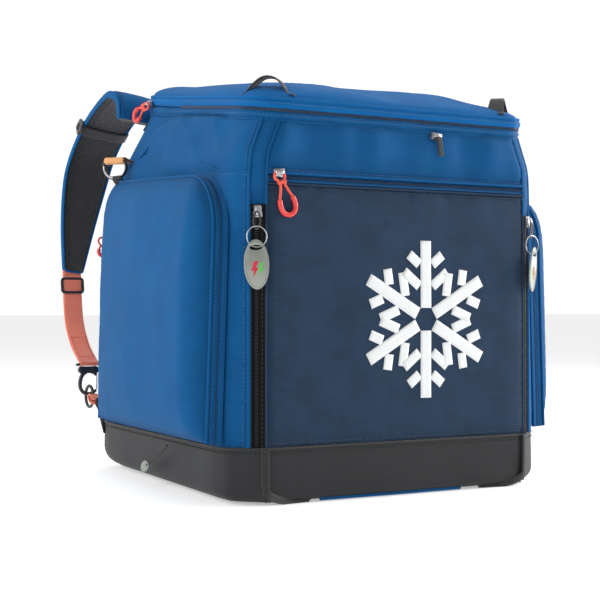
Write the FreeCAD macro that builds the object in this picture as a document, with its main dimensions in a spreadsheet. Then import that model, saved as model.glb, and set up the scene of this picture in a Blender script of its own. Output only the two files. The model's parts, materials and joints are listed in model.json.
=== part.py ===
"""Ski boot bag: a boxy backpack with a domed zip lid, bulging side pockets and a flat front pocket.

Millimetres, +Z up. The origin lies under the middle of the main compartment, on the surface that the bag
stands on. The front faces -Y and the shoulder straps are at +Y. Left means -X. A right-hand piece is its
left-hand twin, mirrored.
"""

import FreeCAD, Part
import math
import os

import Sketcher
from FreeCAD import Placement, Rotation, Vector

doc = FreeCAD.newDocument("ski_boot_bag")
sizes = doc.addObject("Spreadsheet::Sheet", "sizes")
nodes = {}
places = {}

SIZES = {
    # plan of the main compartment: front, chamfered corner, flared shoulder, side, back corner
    "front_reach": 212, "front_half": 163, "corner_run": 14.5, "corner_depth": 10, "shoulder_run": 22.5,
    "shoulder_depth": 18, "side_taper": 17, "back_reach": 212, "back_side_reach": 190, "back_half": 158,
    # how the walls close in at the knee and at the lid seam
    "knee_height": 350, "knee_side_in": 10, "knee_back_in": 8, "seam_front": 391, "seam_back": 440,
    "seam_front_in": 16, "seam_shoulder_in": 27, "seam_back_side_in": 30, "seam_back_reach": 130,
    "seam_back_run": 26,
    # floor and walls
    "tub_height": 58, "wall": 3, "gap": 0.5, "patch_width": 300, "patch_depth": 372, "patch_thick": 2.5,
    "board_width": 330, "board_depth": 380, "board_thick": 2.5, "tub_edge": 10,
    # front pocket
    "pocket_top": 327, "zip_tape": 16, "tape_thick": 1.4, "panel_thick": 2.6, "pocket_room": 7,
    # lid and its zip
    "lid_band": 19, "lid_wall": 3, "lid_crown": 18, "crown_inset": 62, "tape_rise": 8, "tape_proud": 1.6,
    "loop_width": 22, "loop_thick": 1.8, "loop_rise": 18, "loop_half": 24, "loop_into": 22,
    # side pockets
    "flap_top": 345, "flap_base": 62, "flap_back": 172, "band_depth": 15, "band_wall": 2.4,
    "flap_round": 46, "flap_wall": 3, "flap_step": 16, "flap_step_in": 16, "flap_bulge": 9, "flap_bulge_in": 66,
    # zip sliders and pulls
    "slider_long": 12, "slider_wide": 9, "slider_high": 3.4, "crown_wide": 3, "crown_long": 9, "crown_high": 5,
    "eye_bar": 2.1, "eye_room": 3.7, "eye_half": 2.6, "pull_long": 42, "pull_wide": 20, "corner_zip_top": 302,
    "tab_long": 18, "tab_wide": 7, "seam_tab_at": 41, "lid_slider_lean": 4,
    # key ring and tag
    "bail_long": 15, "ring_radius": 11, "ring_wire": 1.6, "tag_wide": 26, "tag_long": 50, "tag_thick": 1.6,
    # straps
    "pad_width": 58, "pad_thick": 12, "webbing": 25, "webbing_thick": 2.2, "strap_tilt": 8,
    "dee_wide": 33, "dee_high": 25, "dee_wire": 3.6, "hook_wide": 28, "hook_high": 38, "hook_thick": 5,
    "hook_low": 86, "low_ring_radius": 13.5, "low_ring_wire": 4, "low_tab_wide": 12, "low_tab_deep": 16,
    "low_tab_high": 9, "keeper_long": 16, "keeper_room": 3, "keeper_rim": 5, "glide_long": 22, "glide_room": 1.5,
    "glide_rim": 5.5, "glide_at": 16, "end_bar_over": 8, "end_bar_deep": 6, "end_bar_high": 3.4,
    # back padding and heating
    "back_pad_wide": 150, "back_pad_high": 250, "back_pad_thick": 11, "mat_thick": 4, "mat_high": 220,
    "mat_deep": 250, "unit_wide": 110, "unit_deep": 30, "unit_high": 70, "inlet_radius": 8, "inlet_long": 12,
    "pad_lift": 20,
    # short cord on the left side
    "cord_wire": 2.2, "cord_end_long": 22, "cord_end_high": 12, "cord_end_thick": 1.8,
}


class Size:
    """A number together with the sheet expression that gives it."""

    def __init__(self, value, text):
        self.value, self.text = float(value), text

    @staticmethod
    def of(x):
        return x if isinstance(x, Size) else Size(x, f"({float(x):.9f})")

    def _join(self, other, sign, value):
        return Size(value, f"({self.text} {sign} {other.text})")

    def __add__(self, other):
        other = Size.of(other)
        return self._join(other, "+", self.value + other.value)

    def __sub__(self, other):
        other = Size.of(other)
        return self._join(other, "-", self.value - other.value)

    def __mul__(self, other):
        other = Size.of(other)
        return self._join(other, "*", self.value * other.value)

    def __truediv__(self, other):
        other = Size.of(other)
        return self._join(other, "/", self.value / other.value)

    def __radd__(self, other):
        return Size.of(other) + self

    def __rsub__(self, other):
        return Size.of(other) - self

    def __rmul__(self, other):
        return Size.of(other) * self

    def __neg__(self):
        return Size(-self.value, f"(-1 * {self.text})")

    def __float__(self):
        return self.value


def fill_sheet():
    """Writes every driving size into its own named cell."""
    for row, (alias, value) in enumerate(SIZES.items(), 1):
        sizes.set(f"A{row}", alias)
        sizes.set(f"B{row}", str(value))
        sizes.setAlias(f"B{row}", alias)
    doc.recompute()


def size(alias):
    """The named size, tied to its cell."""
    return Size(float(sizes.get(alias)), f"sizes.{alias}")


def bind(obj, prop, value):
    """Ties a property to a size expression."""
    obj.setExpression(prop, Size.of(value).text)


def keep(label, obj):
    """Makes obj the node with that name."""
    obj.Label = label
    nodes[label] = obj
    return obj


fill_sheet()
FRONT = -size("front_reach")
WALL = size("wall")
GAP = size("gap")
TUB = size("tub_height")
KNEE = size("knee_height")
TILT = math.degrees(math.atan2(float(size("seam_back") - size("seam_front")),
                               float(size("seam_back_reach") - FRONT)))
COS_TILT = math.cos(math.radians(TILT))
RING_TURN = 25
DEE_PLACE = (-190, 128, 378, -48)
CORD_X = -205
CORD_ROUTE = [(-62, 50), (-46, 40), (-27, 31), (-12, 26)]
CORD_END = (0, 22)
SEAM_RISE = (size("seam_back") - size("seam_front")) / (size("seam_back_reach") - FRONT)


# ---------------------------------------------------------------- builders

def draw(sketch, outline):
    """Draws a closed outline of straight lines whose corners are all tied to the sheet."""
    points = [(Size.of(x), Size.of(y)) for x, y in outline]
    first = sketch.GeometryCount
    count = len(points)
    for i in range(count):
        (x0, y0), (x1, y1) = points[i], points[(i + 1) % count]
        sketch.addGeometry(Part.LineSegment(Vector(x0.value, y0.value, 0), Vector(x1.value, y1.value, 0)))
    for i in range(count):
        line, following = first + i, first + (i + 1) % count
        sketch.addConstraint(Sketcher.Constraint("Coincident", line, 2, following, 1))
    for i, (x, y) in enumerate(points):
        for kind, value in (("DistanceX", x), ("DistanceY", y)):
            number = sketch.addConstraint(Sketcher.Constraint(kind, -1, 1, first + i, 1, value.value))
            sketch.setExpression(f"Constraints[{number}]", value.text)


def body_sketch(body, plane, outline, start=0):
    """A sketch on one of the body's own origin planes, moved along the plane's normal by start."""
    sketch = body.newObject("Sketcher::SketchObject", "outline")
    origin = [f for f in body.Origin.OriginFeatures if f.Role == plane + "_Plane"][0]
    sketch.AttachmentSupport = [(origin, "")]
    sketch.MapMode = "FlatFace"
    bind(sketch, "AttachmentOffset.Base.z", start)
    draw(sketch, outline)
    return sketch


def pad(label, plane, outline, length, start=0):
    """A body padded from an outline on an origin plane. Normals: XY +Z, XZ -Y, YZ +X."""
    body = doc.addObject("PartDesign::Body", label)
    feature = body.newObject("PartDesign::Pad", "pad")
    feature.Profile = body_sketch(body, plane, outline, start)
    bind(feature, "Length", length)
    doc.recompute()
    return body


def pocket(body, plane, outline, length, start=0):
    """Cuts an outline out of a body, against the plane's normal, and makes sure that something was cut."""
    before = body.Shape.Volume
    feature = body.newObject("PartDesign::Pocket", "cut")
    feature.Profile = body_sketch(body, plane, outline, start)
    bind(feature, "Length", length)
    doc.recompute()
    if not body.Shape.Volume < before:
        raise RuntimeError(f"{body.Label}: a pocket cut nothing")
    return body


def bevel(body, amount, chosen):
    """Bevels the edges of the body's tip for which chosen(edge) is true."""
    tip = body.Tip
    names = [f"Edge{i}" for i, edge in enumerate(tip.Shape.Edges, 1) if chosen(edge)]
    feature = body.newObject("PartDesign::Chamfer", "bevel")
    feature.Base = (tip, names)
    bind(feature, "Size", amount)
    doc.recompute()
    return body


def loft(label, sections, place=None):
    """A ruled loft through closed outlines. A section is (outline, height) or (outline, height, tilt)."""
    drawn = []
    for outline, height, *tilt in sections:
        sketch = doc.addObject("Sketcher::SketchObject", "section")
        if tilt:
            sketch.Placement = Placement(Vector(), Rotation(Vector(1, 0, 0), tilt[0]))
        bind(sketch, "Placement.Base.z", height)
        draw(sketch, outline)
        drawn.append(sketch)
    doc.recompute()
    made = doc.addObject("Part::Loft", label)
    made.Sections = drawn
    made.Solid = True
    made.Ruled = True
    if place is not None:
        made.Placement = place
    doc.recompute()
    return made


def box(label, low, spans):
    """A Part::Box from its low corner and its three spans, all tied to the sheet."""
    solid = doc.addObject("Part::Box", label)
    for prop, value in zip(("Length", "Width", "Height"), spans):
        bind(solid, prop, value)
    for axis, value in zip("xyz", low):
        bind(solid, f"Placement.Base.{axis}", value)
    return solid


def centred(label, centre, spans):
    """A Part::Box about its centre."""
    return box(label, [Size.of(c) - Size.of(s) / 2 for c, s in zip(centre, spans)], spans)


def cylinder(label, start, axis, radius, height):
    """A Part::Cylinder from start, along axis, before any placement of its own."""
    solid = doc.addObject("Part::Cylinder", label)
    bind(solid, "Radius", radius)
    bind(solid, "Height", height)
    turn = Rotation(Vector(0, 0, 1), Vector(*axis))
    solid.Placement = Placement(Vector(*[float(c) for c in start]), turn)
    return solid


def torus(label, centre, axis, radius, wire):
    """A round ring of round wire."""
    solid = doc.addObject("Part::Torus", label)
    bind(solid, "Radius1", radius)
    bind(solid, "Radius2", Size.of(wire) / 2)
    turn = Rotation(Vector(0, 0, 1), Vector(*axis))
    solid.Placement = Placement(Vector(*[float(c) for c in centre]), turn)
    return solid


def cut(label, base, tool):
    """What is left of base without tool."""
    made = doc.addObject("Part::Cut", label)
    made.Base, made.Tool = base, tool
    doc.recompute()
    return made


def fuse(label, *parts):
    """Several solids joined into one."""
    made = doc.addObject("Part::MultiFuse", label)
    made.Shapes = list(parts)
    doc.recompute()
    return made


def group(label, *parts):
    """Several separate solids that share one node."""
    made = doc.addObject("Part::Compound", label)
    made.Links = list(parts)
    doc.recompute()
    return made


def twin(label, source):
    """The right-hand copy of a left-hand piece."""
    made = doc.addObject("Part::Mirroring", label)
    made.Source = source
    made.Base = Vector(0, 0, 0)
    made.Normal = Vector(1, 0, 0)
    doc.recompute()
    return made


def pair(name, left):
    """Keeps a left-hand piece and its mirrored twin as two nodes."""
    keep(name + "_left", left)
    keep(name + "_right", twin(name + "_right", left))


def rounded_path(points, share=0.45):
    """Straight runs joined by tangent arcs, each as large as its two runs allow."""
    points = [Vector(*p) for p in points]
    edges, start = [], points[0]
    for before, corner, after in zip(points, points[1:], points[2:]):
        back, on = before - corner, after - corner
        reach = share * min(back.Length, on.Length)
        turn = math.pi - back.getAngle(on)
        back.normalize()
        on.normalize()
        enter, leave = corner + back * reach, corner + on * reach
        radius = reach / math.tan(turn / 2)
        inward = back + on
        inward.normalize()
        centre = corner + inward * math.hypot(radius, reach)
        to_corner = corner - centre
        to_corner.normalize()
        edges.append(Part.LineSegment(start, enter).toShape())
        edges.append(Part.Arc(enter, centre + to_corner * radius, leave).toShape())
        start = leave
    edges.append(Part.LineSegment(start, points[-1]).toShape())
    return Part.Wire(edges)


def strip(label, points, thick, wide, place):
    """A strap of constant thickness along a path in its own YZ plane, its width along X."""
    thick, wide = float(thick), float(wide)
    path = rounded_path([(0, y, z) for y, z in points])
    start = Vector(0, *points[0])
    way = Vector(0, *points[1]) - start
    way.normalize()
    side = Vector(1, 0, 0)
    across = way.cross(side)
    corners = [start + side * (sx * wide / 2) + across * (sy * thick / 2)
               for sx, sy in ((-1, -1), (1, -1), (1, 1), (-1, 1), (-1, -1))]
    made = doc.addObject("Part::Feature", label)
    made.Shape = path.makePipeShell([Part.makePolygon(corners)], True, False)
    made.Placement = place
    doc.recompute()
    return made


def standing(x, y, z, heading=0.0, pitch=0.0):
    """A place whose own -Y looks out at a heading: 0 is the front, -90 the left side. Pitch tips it up."""
    turn = Rotation(Vector(0, 0, 1), heading).multiply(Rotation(Vector(1, 0, 0), pitch))
    return Placement(Vector(float(x), float(y), float(z)), turn)


def put(obj, place):
    """Places a piece that was built about its own origin."""
    obj.Placement = place.multiply(obj.Placement)
    doc.recompute()
    return obj


# ---------------------------------------------------------------- plan of the walls

def ring_points(level):
    """Outer and inner corners of the left half at a level: front edge, corner, shoulder, back side, back."""
    front_half, front_y = size("front_half"), FRONT
    corner_x, corner_y = front_half + size("corner_run"), FRONT + size("corner_depth")
    shoulder_x, shoulder_y = corner_x + size("shoulder_run"), corner_y + size("shoulder_depth")
    side_x, side_y = shoulder_x - size("side_taper"), size("back_side_reach")
    back_x, back_y = size("back_half"), size("back_reach")
    if level == "knee":
        shoulder_x = shoulder_x - size("knee_side_in")
        side_x = side_x - size("knee_side_in")
        side_y, back_y = side_y - size("knee_back_in"), back_y - size("knee_back_in")
    if level == "seam":
        front_half = front_half - size("seam_front_in")
        corner_x = corner_x - size("seam_front_in")
        shoulder_x = shoulder_x - size("seam_shoulder_in")
        side_x = side_x - size("seam_back_side_in")
        back_x = side_x - size("corner_run")
        back_y = size("seam_back_reach")
        side_y = back_y - size("seam_back_run")
    outer = [(-front_half, front_y), (-corner_x, corner_y), (-shoulder_x, shoulder_y), (-side_x, side_y),
             (-back_x, back_y)]
    shifts = [(0, 1), (0.8, 0.8), (1, 0.35), (1, -0.4), (0.5, -1)]
    inner = [(x + WALL * dx, y + WALL * dy) for (x, y), (dx, dy) in zip(outer, shifts)]
    return outer, inner


def on_seam(points):
    """Plan points on the tilted plane of the lid seam, in that plane's own coordinates."""
    return [(x, y / COS_TILT) for x, y in points]


def seam_at_origin():
    """Height at which the plane of the lid seam crosses the Z axis."""
    return size("seam_front") - SEAM_RISE * FRONT


def wall_panel(label, first, last, low):
    """A wall from one corner of the plan to another, from low up through the knee to the lid seam."""
    sections = []
    for level, height in (("foot", low), ("knee", KNEE)):
        outer, inner = ring_points(level)
        sections.append((outer[first:last + 1] + inner[first:last + 1][::-1], height))
    outer, inner = ring_points("seam")
    sections.append((on_seam(outer[first:last + 1] + inner[first:last + 1][::-1]),
                     seam_at_origin() - GAP, TILT))
    lower = loft(label + "_low", sections[:2])
    upper = loft(label + "_high", sections[1:])
    return fuse(label, lower, upper)


def both_sides(points):
    """A closed outline from its left half, listed from the front to the back."""
    return points + [(-x, y) for x, y in reversed(points)]


def front_edge(height):
    """Half-width of the front face at a height."""
    height = Size.of(height)
    if height.value <= KNEE.value:
        return size("front_half") - GAP
    share = (height - KNEE) / (size("seam_front") - KNEE)
    return size("front_half") - GAP - size("seam_front_in") * share


def front_panel(label, low, high, thick, recess=0):
    """A flat panel of the front between two heights, set back by recess."""
    low, high = Size.of(low), Size.of(high)
    levels = [low, KNEE, high] if low.value < KNEE.value < high.value else [low, high]
    left = [(-front_edge(z), z) for z in levels]
    right = [(-x, z) for x, z in reversed(left)]
    return pad(label, "XZ", left + right, thick, -(FRONT + Size.of(recess) + thick))


# ---------------------------------------------------------------- main compartment

def build_floor():
    patch = box("bottom_patch", (-size("patch_width") / 2, -size("patch_depth") / 2, 0),
                (size("patch_width"), size("patch_depth"), size("patch_thick")))
    keep("bottom_patch", patch)
    outer, inner = ring_points("foot")
    low = size("patch_thick")
    tub = pad("base_tub", "XY", both_sides(outer), TUB - low, low)
    bevel(tub, size("tub_edge"), lambda e: e.BoundBox.ZMax < float(low) + 0.01)
    pocket(tub, "XY", both_sides(inner), TUB - low - WALL, TUB)
    keep("base_tub", tub)
    board = box("base_board", (-size("board_width") / 2, -size("board_depth") / 2, low + WALL),
                (size("board_width"), size("board_depth"), size("board_thick")))
    keep("base_board", board)


def build_walls():
    thin = size("panel_thick")
    panel_top, tape_top = size("pocket_top"), size("pocket_top") + size("zip_tape")
    top = size("seam_front") - GAP * 2
    foot = TUB + GAP
    keep("front_pocket_panel", front_panel("front_pocket_panel", foot, panel_top, thin))
    keep("front_zip_tape", front_panel("front_zip_tape", panel_top, tape_top, size("tape_thick"), GAP))
    keep("front_top_strip", front_panel("front_top_strip", tape_top, top, thin))

    reach = size("front_half") - WALL * 2
    seam_reach = reach - size("seam_front_in")
    set_back = FRONT + thin + size("pocket_room")
    outline = [(-reach, foot), (-reach, KNEE), (-seam_reach, top),
               (seam_reach, top), (reach, KNEE), (reach, foot)]
    keep("front_wall", pad("front_wall", "XZ", outline, WALL, -(set_back + WALL)))

    pair("corner_panel", wall_panel("corner_panel", 0, 1, foot))
    pair("side_panel", wall_panel("side_panel", 1, 3, foot))

    sections = []
    for level, height in (("foot", foot), ("knee", KNEE)):
        outer, inner = ring_points(level)
        sections.append((both_sides(outer[3:]) + both_sides(inner[3:])[::-1], height))
    outer, inner = ring_points("seam")
    around = both_sides(outer[3:]) + both_sides(inner[3:])[::-1]
    sections.append((on_seam(around), seam_at_origin() - GAP, TILT))
    keep("back_wall", fuse("back_wall", loft("back_low", sections[:2]), loft("back_high", sections[1:])))

    back = size("back_reach") + GAP
    back_pad = box("back_pad", (-size("back_pad_wide") / 2, back, TUB + size("pad_lift")),
                   (size("back_pad_wide"), size("back_pad_thick"), size("back_pad_high")))
    keep("back_pad", back_pad)


# ---------------------------------------------------------------- lid

def inset(points, amount):
    """A left-half outline drawn in towards its middle by amount, at its front, side and back."""
    middle = (points[0][1] + points[-1][1]) / 2
    made = []
    for x, y in points:
        towards = 1 if Size.of(y).value < middle.value else -1
        made.append((x + amount, y + amount * towards))
    return made


def build_lid():
    outer, inner = ring_points("seam")
    low = seam_at_origin()
    rise = size("tape_rise") / COS_TILT
    rim, room = on_seam(both_sides(outer)), on_seam(both_sides(inner))
    tape = loft("mouth_tape_out", [(rim, low, TILT), (rim, low + rise, TILT)])
    mouth = loft("mouth_tape_in", [(room, low - 1, TILT), (room, low + rise + 1, TILT)])
    keep("mouth_tape", cut("mouth_tape", tape, mouth))

    start = low + rise + GAP
    top = low + size("lid_band") / COS_TILT
    crown = top + size("lid_crown") / COS_TILT
    small_rim = on_seam(both_sides(inset(outer, size("crown_inset"))))
    small_room = on_seam(both_sides(inset(inner, size("crown_inset"))))
    shell = loft("lid_out", [(rim, start, TILT), (rim, top, TILT)])
    dome = loft("lid_dome", [(rim, top, TILT), (small_rim, crown, TILT)])
    hollow = loft("lid_in", [(room, start - 1, TILT), (room, top, TILT)])
    under = loft("lid_under", [(room, top, TILT), (small_room, crown - size("lid_wall"), TILT)])
    keep("lid_shell", cut("lid_shell", fuse("lid_full", shell, dome), fuse("lid_hollow", hollow, under)))
    hinge_at = size("seam_back") + size("tape_rise")
    places["lid_hinge"] = (Vector(0, float(size("seam_back_reach")), float(hinge_at)), Vector(-1, 0, 0))


def build_lid_zip():
    """The coil that runs round the front and sides of the mouth, proud of the band."""
    outer, _ = ring_points("seam")
    coil = size("tape_proud")
    low = seam_at_origin() + (size("tape_rise") + GAP * 2) / COS_TILT
    high = low + size("tape_proud") * 2
    near = outer[:4]
    away = [(x - coil, y - coil) for x, y in near[:1]] + [(x - coil, y - coil * 0.6) for x, y in near[1:3]]
    away.append((near[3][0] - coil, near[3][1]))
    skin = [(x - 0.3, y - 0.3) for x, y in near[:3]] + [(near[3][0] - 0.3, near[3][1])]
    ring = both_sides(away[::-1]) + both_sides(skin[::-1])[::-1]
    keep("lid_zip", loft("lid_zip", [(on_seam(ring), low, TILT), (on_seam(ring), high, TILT)]))


def build_grab_loops():
    """A webbing arch across each front corner of the lid."""
    half, rise, thick, wide = size("loop_half"), size("loop_rise"), size("loop_thick"), size("loop_width")
    outer = [(-half, 0), (-half * 0.72, rise * 0.72), (-half * 0.3, rise), (half * 0.3, rise),
             (half * 0.72, rise * 0.72), (half, 0)]
    inner = [(half - thick * 1.6, 0), (half * 0.66, rise * 0.72 - thick), (half * 0.26, rise - thick),
             (-half * 0.26, rise - thick), (-half * 0.66, rise * 0.72 - thick), (-half + thick * 1.6, 0)]
    loop = pad("grab_loop", "XZ", outer + inner, wide, -wide / 2)
    corner, _ = ring_points("seam")
    x, y = corner[1]
    into = float(size("loop_into"))
    at_x, at_y = float(x) + into, float(y) + into
    slope = float(size("lid_crown")) / float(size("crown_inset"))
    lift = float(size("lid_band")) + into * slope + float(GAP) * 9
    height = float(seam_at_origin()) + at_y * float(SEAM_RISE) + lift
    place = Placement(Vector(at_x, at_y, height), Rotation(Vector(0, 0, 1), -45))
    loop.Placement = place
    doc.recompute()
    pair("grab_loop", loop)


# ---------------------------------------------------------------- side pockets

def side_place():
    """Frame of the left side: origin at the shoulder's foot, Y along the wall, Z up it, -X outwards."""
    outer, _ = ring_points("foot")
    knee, _ = ring_points("knee")
    foot = Vector(float(outer[2][0]), float(outer[2][1]), float(TUB))
    along = math.degrees(math.atan2(float(size("side_taper")), float(outer[3][1] - outer[2][1])))
    leaning = math.degrees(math.atan2(float(knee[2][0] - outer[2][0]), float(KNEE - TUB)))
    turn = Rotation(Vector(0, 0, 1), -along).multiply(Rotation(Vector(0, 1, 0), leaning))
    return Placement(foot, turn)


def flap_outline(inset_by, drop=0):
    """The pocket's outline along the wall and up it: square at the foot, rounded at the top."""
    front, back = Size.of(inset_by), size("flap_back") + size("front_reach") - size("corner_depth")
    back = back - size("shoulder_depth") - inset_by
    low, high = size("flap_base") - TUB + Size.of(drop), size("flap_top") - TUB - inset_by
    curve = size("flap_round")
    nick = curve * 0.3
    outline = [(front, low), (front, high - curve), (front + nick, high - nick), (front + curve, high)]
    outline += [(back - curve, high), (back - nick, high - nick), (back, high - curve), (back, low)]
    return outline


def side_loft(label, sections):
    """A loft outwards from the left wall through outlines that are given along the wall and up it."""
    outwards = Placement(Vector(), Rotation(Vector(0, 1, 0), -90))
    turned = [([(up, along) for along, up in outline], out) for outline, out in sections]
    return loft(label, turned, side_place().multiply(outwards))


def build_side_pockets():
    depth, wall = size("band_depth"), size("band_wall")
    whole = side_loft("band_out", [(flap_outline(0), GAP), (flap_outline(0), depth)])
    inner = side_loft("band_in", [(flap_outline(wall, -10), 0), (flap_outline(wall, -10), depth + 1)])
    pair("pocket_band", cut("pocket_band", whole, inner))

    skin = size("flap_wall")
    start, step = depth + GAP, depth + GAP + size("flap_step")
    crown = step + size("flap_bulge")
    edge, bend = flap_outline(0), flap_outline(size("flap_step_in"), 8)
    top = flap_outline(size("flap_bulge_in"), 50)
    shell = fuse("flap_full", side_loft("flap_a", [(edge, start), (bend, step)]),
                 side_loft("flap_b", [(bend, step), (top, crown)]))
    room, under = flap_outline(skin, 3), flap_outline(size("flap_step_in") + skin, 11)
    hollow = fuse("flap_hollow",
                  side_loft("flap_c", [(room, start - 1), (room, start), (under, step - skin)]),
                  side_loft("flap_d", [(under, step - skin), (top, crown - skin)]))
    pair("pocket_flap", cut("pocket_flap", shell, hollow))
    hinge = side_place().multVec(Vector(-float(start), 0, float(size("flap_base") - TUB)))
    along = side_place().Rotation.multVec(Vector(0, 1, 0))
    places["flap_hinge"] = (hinge, along)


# ---------------------------------------------------------------- zip sliders and pulls

def slider_solid(label, sideways=False):
    """A zip slider on the plane y = 0, its bridge along -Y with a square eye through it along X."""
    long, wide, high = size("slider_long"), size("slider_wide"), size("slider_high")
    spans = (long, high, wide) if sideways else (wide, high, long)
    body = centred(label + "_body", (0, -high / 2, 0), spans)
    bridge_high = size("crown_high") + GAP
    bridge = centred(label + "_bridge", (0, -high - size("crown_high") / 2 + GAP / 2, 0),
                     (size("crown_wide"), bridge_high, size("crown_long")))
    eye = centred(label + "_eye", (0, -high - size("eye_room") / 2, 0),
                  (size("crown_wide") * 2, size("eye_room"), size("crown_long") - WALL))
    return fuse(label, body, cut(label + "_crown", bridge, eye))


def pull_axis():
    """Where a pull turns in its slider's eye: out from the zip, and down."""
    return -(size("slider_high") + size("eye_room") / 2), Size.of(-0.8)


def pull_head(label, length):
    """The bar through the eye and the two arms that hang from it."""
    out, down = pull_axis()
    bar, half = size("eye_bar"), size("eye_half")
    across = cylinder(label + "_bar", (-(half + bar), out, down), (1, 0, 0), bar / 2, half * 2 + bar * 2)
    middle = down + bar / 2 - length / 2
    arms = [centred(label + "_arm", ((half + bar / 2) * side, out, middle), (bar, bar, length))
            for side in (-1, 1)]
    return [across] + arms


def oval(across, down, wide, high, count=20):
    """A closed oval outline about a centre."""
    return [(across + wide / 2 * math.sin(2 * math.pi * i / count),
             down + high / 2 * math.cos(2 * math.pi * i / count)) for i in range(count)]


def cord_pull(label):
    """A flat loop of cord that ends in a wide grip."""
    out, down = pull_axis()
    bar, wide, long = size("eye_bar"), size("pull_wide"), size("pull_long")
    drop = down - size("crown_long") * 0.6
    head = pull_head(label, size("crown_long") * 0.6 + bar)
    neck = size("eye_half") + bar
    outer = [(-neck, drop), (neck, drop), (wide / 2, down - long + wide / 2), (wide * 0.3, down - long),
             (-wide * 0.3, down - long), (-wide / 2, down - long + wide / 2)]
    loop = pad(label + "_loop", "XZ", outer, bar, -out - bar / 2)
    inner = [(-neck + bar * 1.2, drop - bar), (neck - bar * 1.2, drop - bar),
             (wide / 2 - bar * 1.3, down - long + wide / 2), (wide * 0.2, down - long + bar * 1.6),
             (-wide * 0.2, down - long + bar * 1.6), (-wide / 2 + bar * 1.3, down - long + wide / 2)]
    pocket(loop, "XZ", inner, bar * 2, -out + bar)
    return fuse(label, *head, loop)


def bail_pull(label):
    """A pull whose lower end has an eye, along X, for a key ring."""
    out, down = pull_axis()
    bar = size("eye_bar")
    foot = -size("bail_long")
    head = pull_head(label, -foot + down - bar * 2)
    yoke = centred(label + "_yoke", (0, out, foot + bar * 2), (size("eye_half") * 2 + bar * 2, bar, bar))
    block = centred(label + "_block", (0, out, foot), (bar, bar * 4, bar * 4))
    hole = centred(label + "_hole", (0, out, foot), (bar * 2, bar * 2.9, bar * 2))
    return fuse(label, *head, yoke, cut(label + "_eye_block", block, hole))


def ring_and_tag(label):
    """A split ring in the bail's eye and the oval tag that hangs on it."""
    out, _ = pull_axis()
    foot, radius = -size("bail_long"), size("ring_radius")
    turned = math.radians(RING_TURN)
    ring = torus(label + "_ring", (0, out, foot - radius), (-math.sin(turned), math.cos(turned), 0), radius,
                 size("ring_wire"))
    slot_at = foot - radius * 2
    wide, long, thick = size("tag_wide"), size("tag_long"), size("tag_thick")
    edge = slot_at + wide * 0.27
    plate = pad(label + "_plate", "XZ", oval(Size.of(0), edge - long / 2, wide, long), thick, -out - thick / 2)
    pocket(plate, "XZ", oval(Size.of(0), slot_at, wide * 0.42, wide * 0.2, 12), thick * 2, -out + thick / 2)
    return group(label, ring, plate)


def tab_pull(label):
    """A slider with its short pull tab, as one piece that slides."""
    out, down = pull_axis()
    wide, long, thick = size("tab_wide"), size("tab_long"), size("eye_bar")
    tab = centred(label + "_tab", (0, out, down - size("crown_long") * 0.6 - long / 2), (wide, thick, long))
    pull = fuse(label + "_pull", *pull_head(label, size("crown_long") * 0.6 + thick), tab)
    return group(label, slider_solid(label + "_slider"), pull)


def note_pull(name, place):
    """Remembers where a pull turns, with the way in which it lifts."""
    out, down = pull_axis()
    places[name] = (place.multVec(Vector(0, float(out), float(down))), place.Rotation.multVec(Vector(-1, 0, 0)))


def heading_of(first, last):
    """Heading of the wall that runs from one plan point to the next, seen from outside on the left."""
    return -90 + math.degrees(math.atan2(float(last[0] - first[0]), float(last[1] - first[1])))


def build_front_zip_slider():
    height = size("pocket_top") + size("zip_tape") / 2
    start_x = -size("front_half") + size("slider_long")
    place = standing(start_x, FRONT - GAP, height)
    keep("front_slider", put(slider_solid("front_slider", True), place))
    keep("front_pull", put(cord_pull("front_pull"), place))
    note_pull("front_pull", place)


def build_corner_hardware():
    outer, _ = ring_points("foot")
    (x0, y0), (x1, y1) = outer[0], outer[1]
    heading = -math.degrees(math.atan2(float(y1 - y0), float(x0 - x1)))
    out = float(size("tape_thick"))
    turn = math.radians(heading)
    at_x = float(x0 + x1) / 2 + math.sin(turn) * out
    at_y = float(y0 + y1) / 2 - math.cos(turn) * out
    place = standing(at_x, at_y, size("corner_zip_top") - size("slider_long") / 2, heading)
    pair("corner_slider", put(slider_solid("corner_slider"), place))
    pair("corner_pull", put(bail_pull("corner_pull"), place))
    pair("corner_tag", put(ring_and_tag("corner_tag"), place))
    note_pull("corner_pull", place)
    out_at, _ = pull_axis()
    places["corner_tag"] = (place.multVec(Vector(0, float(out_at), -float(size("bail_long")))),
                            place.Rotation.multVec(Vector(-1, 0, 0)))


def build_lid_sliders():
    outer, _ = ring_points("seam")
    (x0, y0), (x1, y1) = outer[2], outer[3]
    heading = heading_of(outer[2], outer[3])
    knee, _ = ring_points("knee")
    fall = math.degrees(math.atan2(float(x1 - knee[3][0]), float(size("seam_back") - KNEE)))
    out = float(size("tape_proud") + GAP * 5)
    share = 1 - float(size("slider_long")) / float(y1 - y0)
    at_x, at_y = float(x0) + float(x1 - x0) * share - out, float(y0) + float(y1 - y0) * share
    height = float(seam_at_origin()) + at_y * float(SEAM_RISE) + float(size("tape_rise")) + float(GAP)
    place = standing(at_x, at_y, height, heading, -fall - float(size("lid_slider_lean")))
    pair("lid_slider", put(slider_solid("lid_slider", True), place))
    pair("lid_pull", put(cord_pull("lid_pull"), place))
    note_pull("lid_pull", place)
    rise = float(y1 - y0) * float(SEAM_RISE)
    run = Vector(float(x0 - x1), float(y0 - y1), -rise)
    run.normalize()
    places["lid_slider"] = (Vector(at_x, at_y, height), run)
    height = size("seam_front") - size("slider_long") / 2 - GAP * 4
    front = standing(size("seam_tab_at"), FRONT - GAP * 2, height)
    keep("seam_tab", put(tab_pull("seam_tab"), front))


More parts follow.
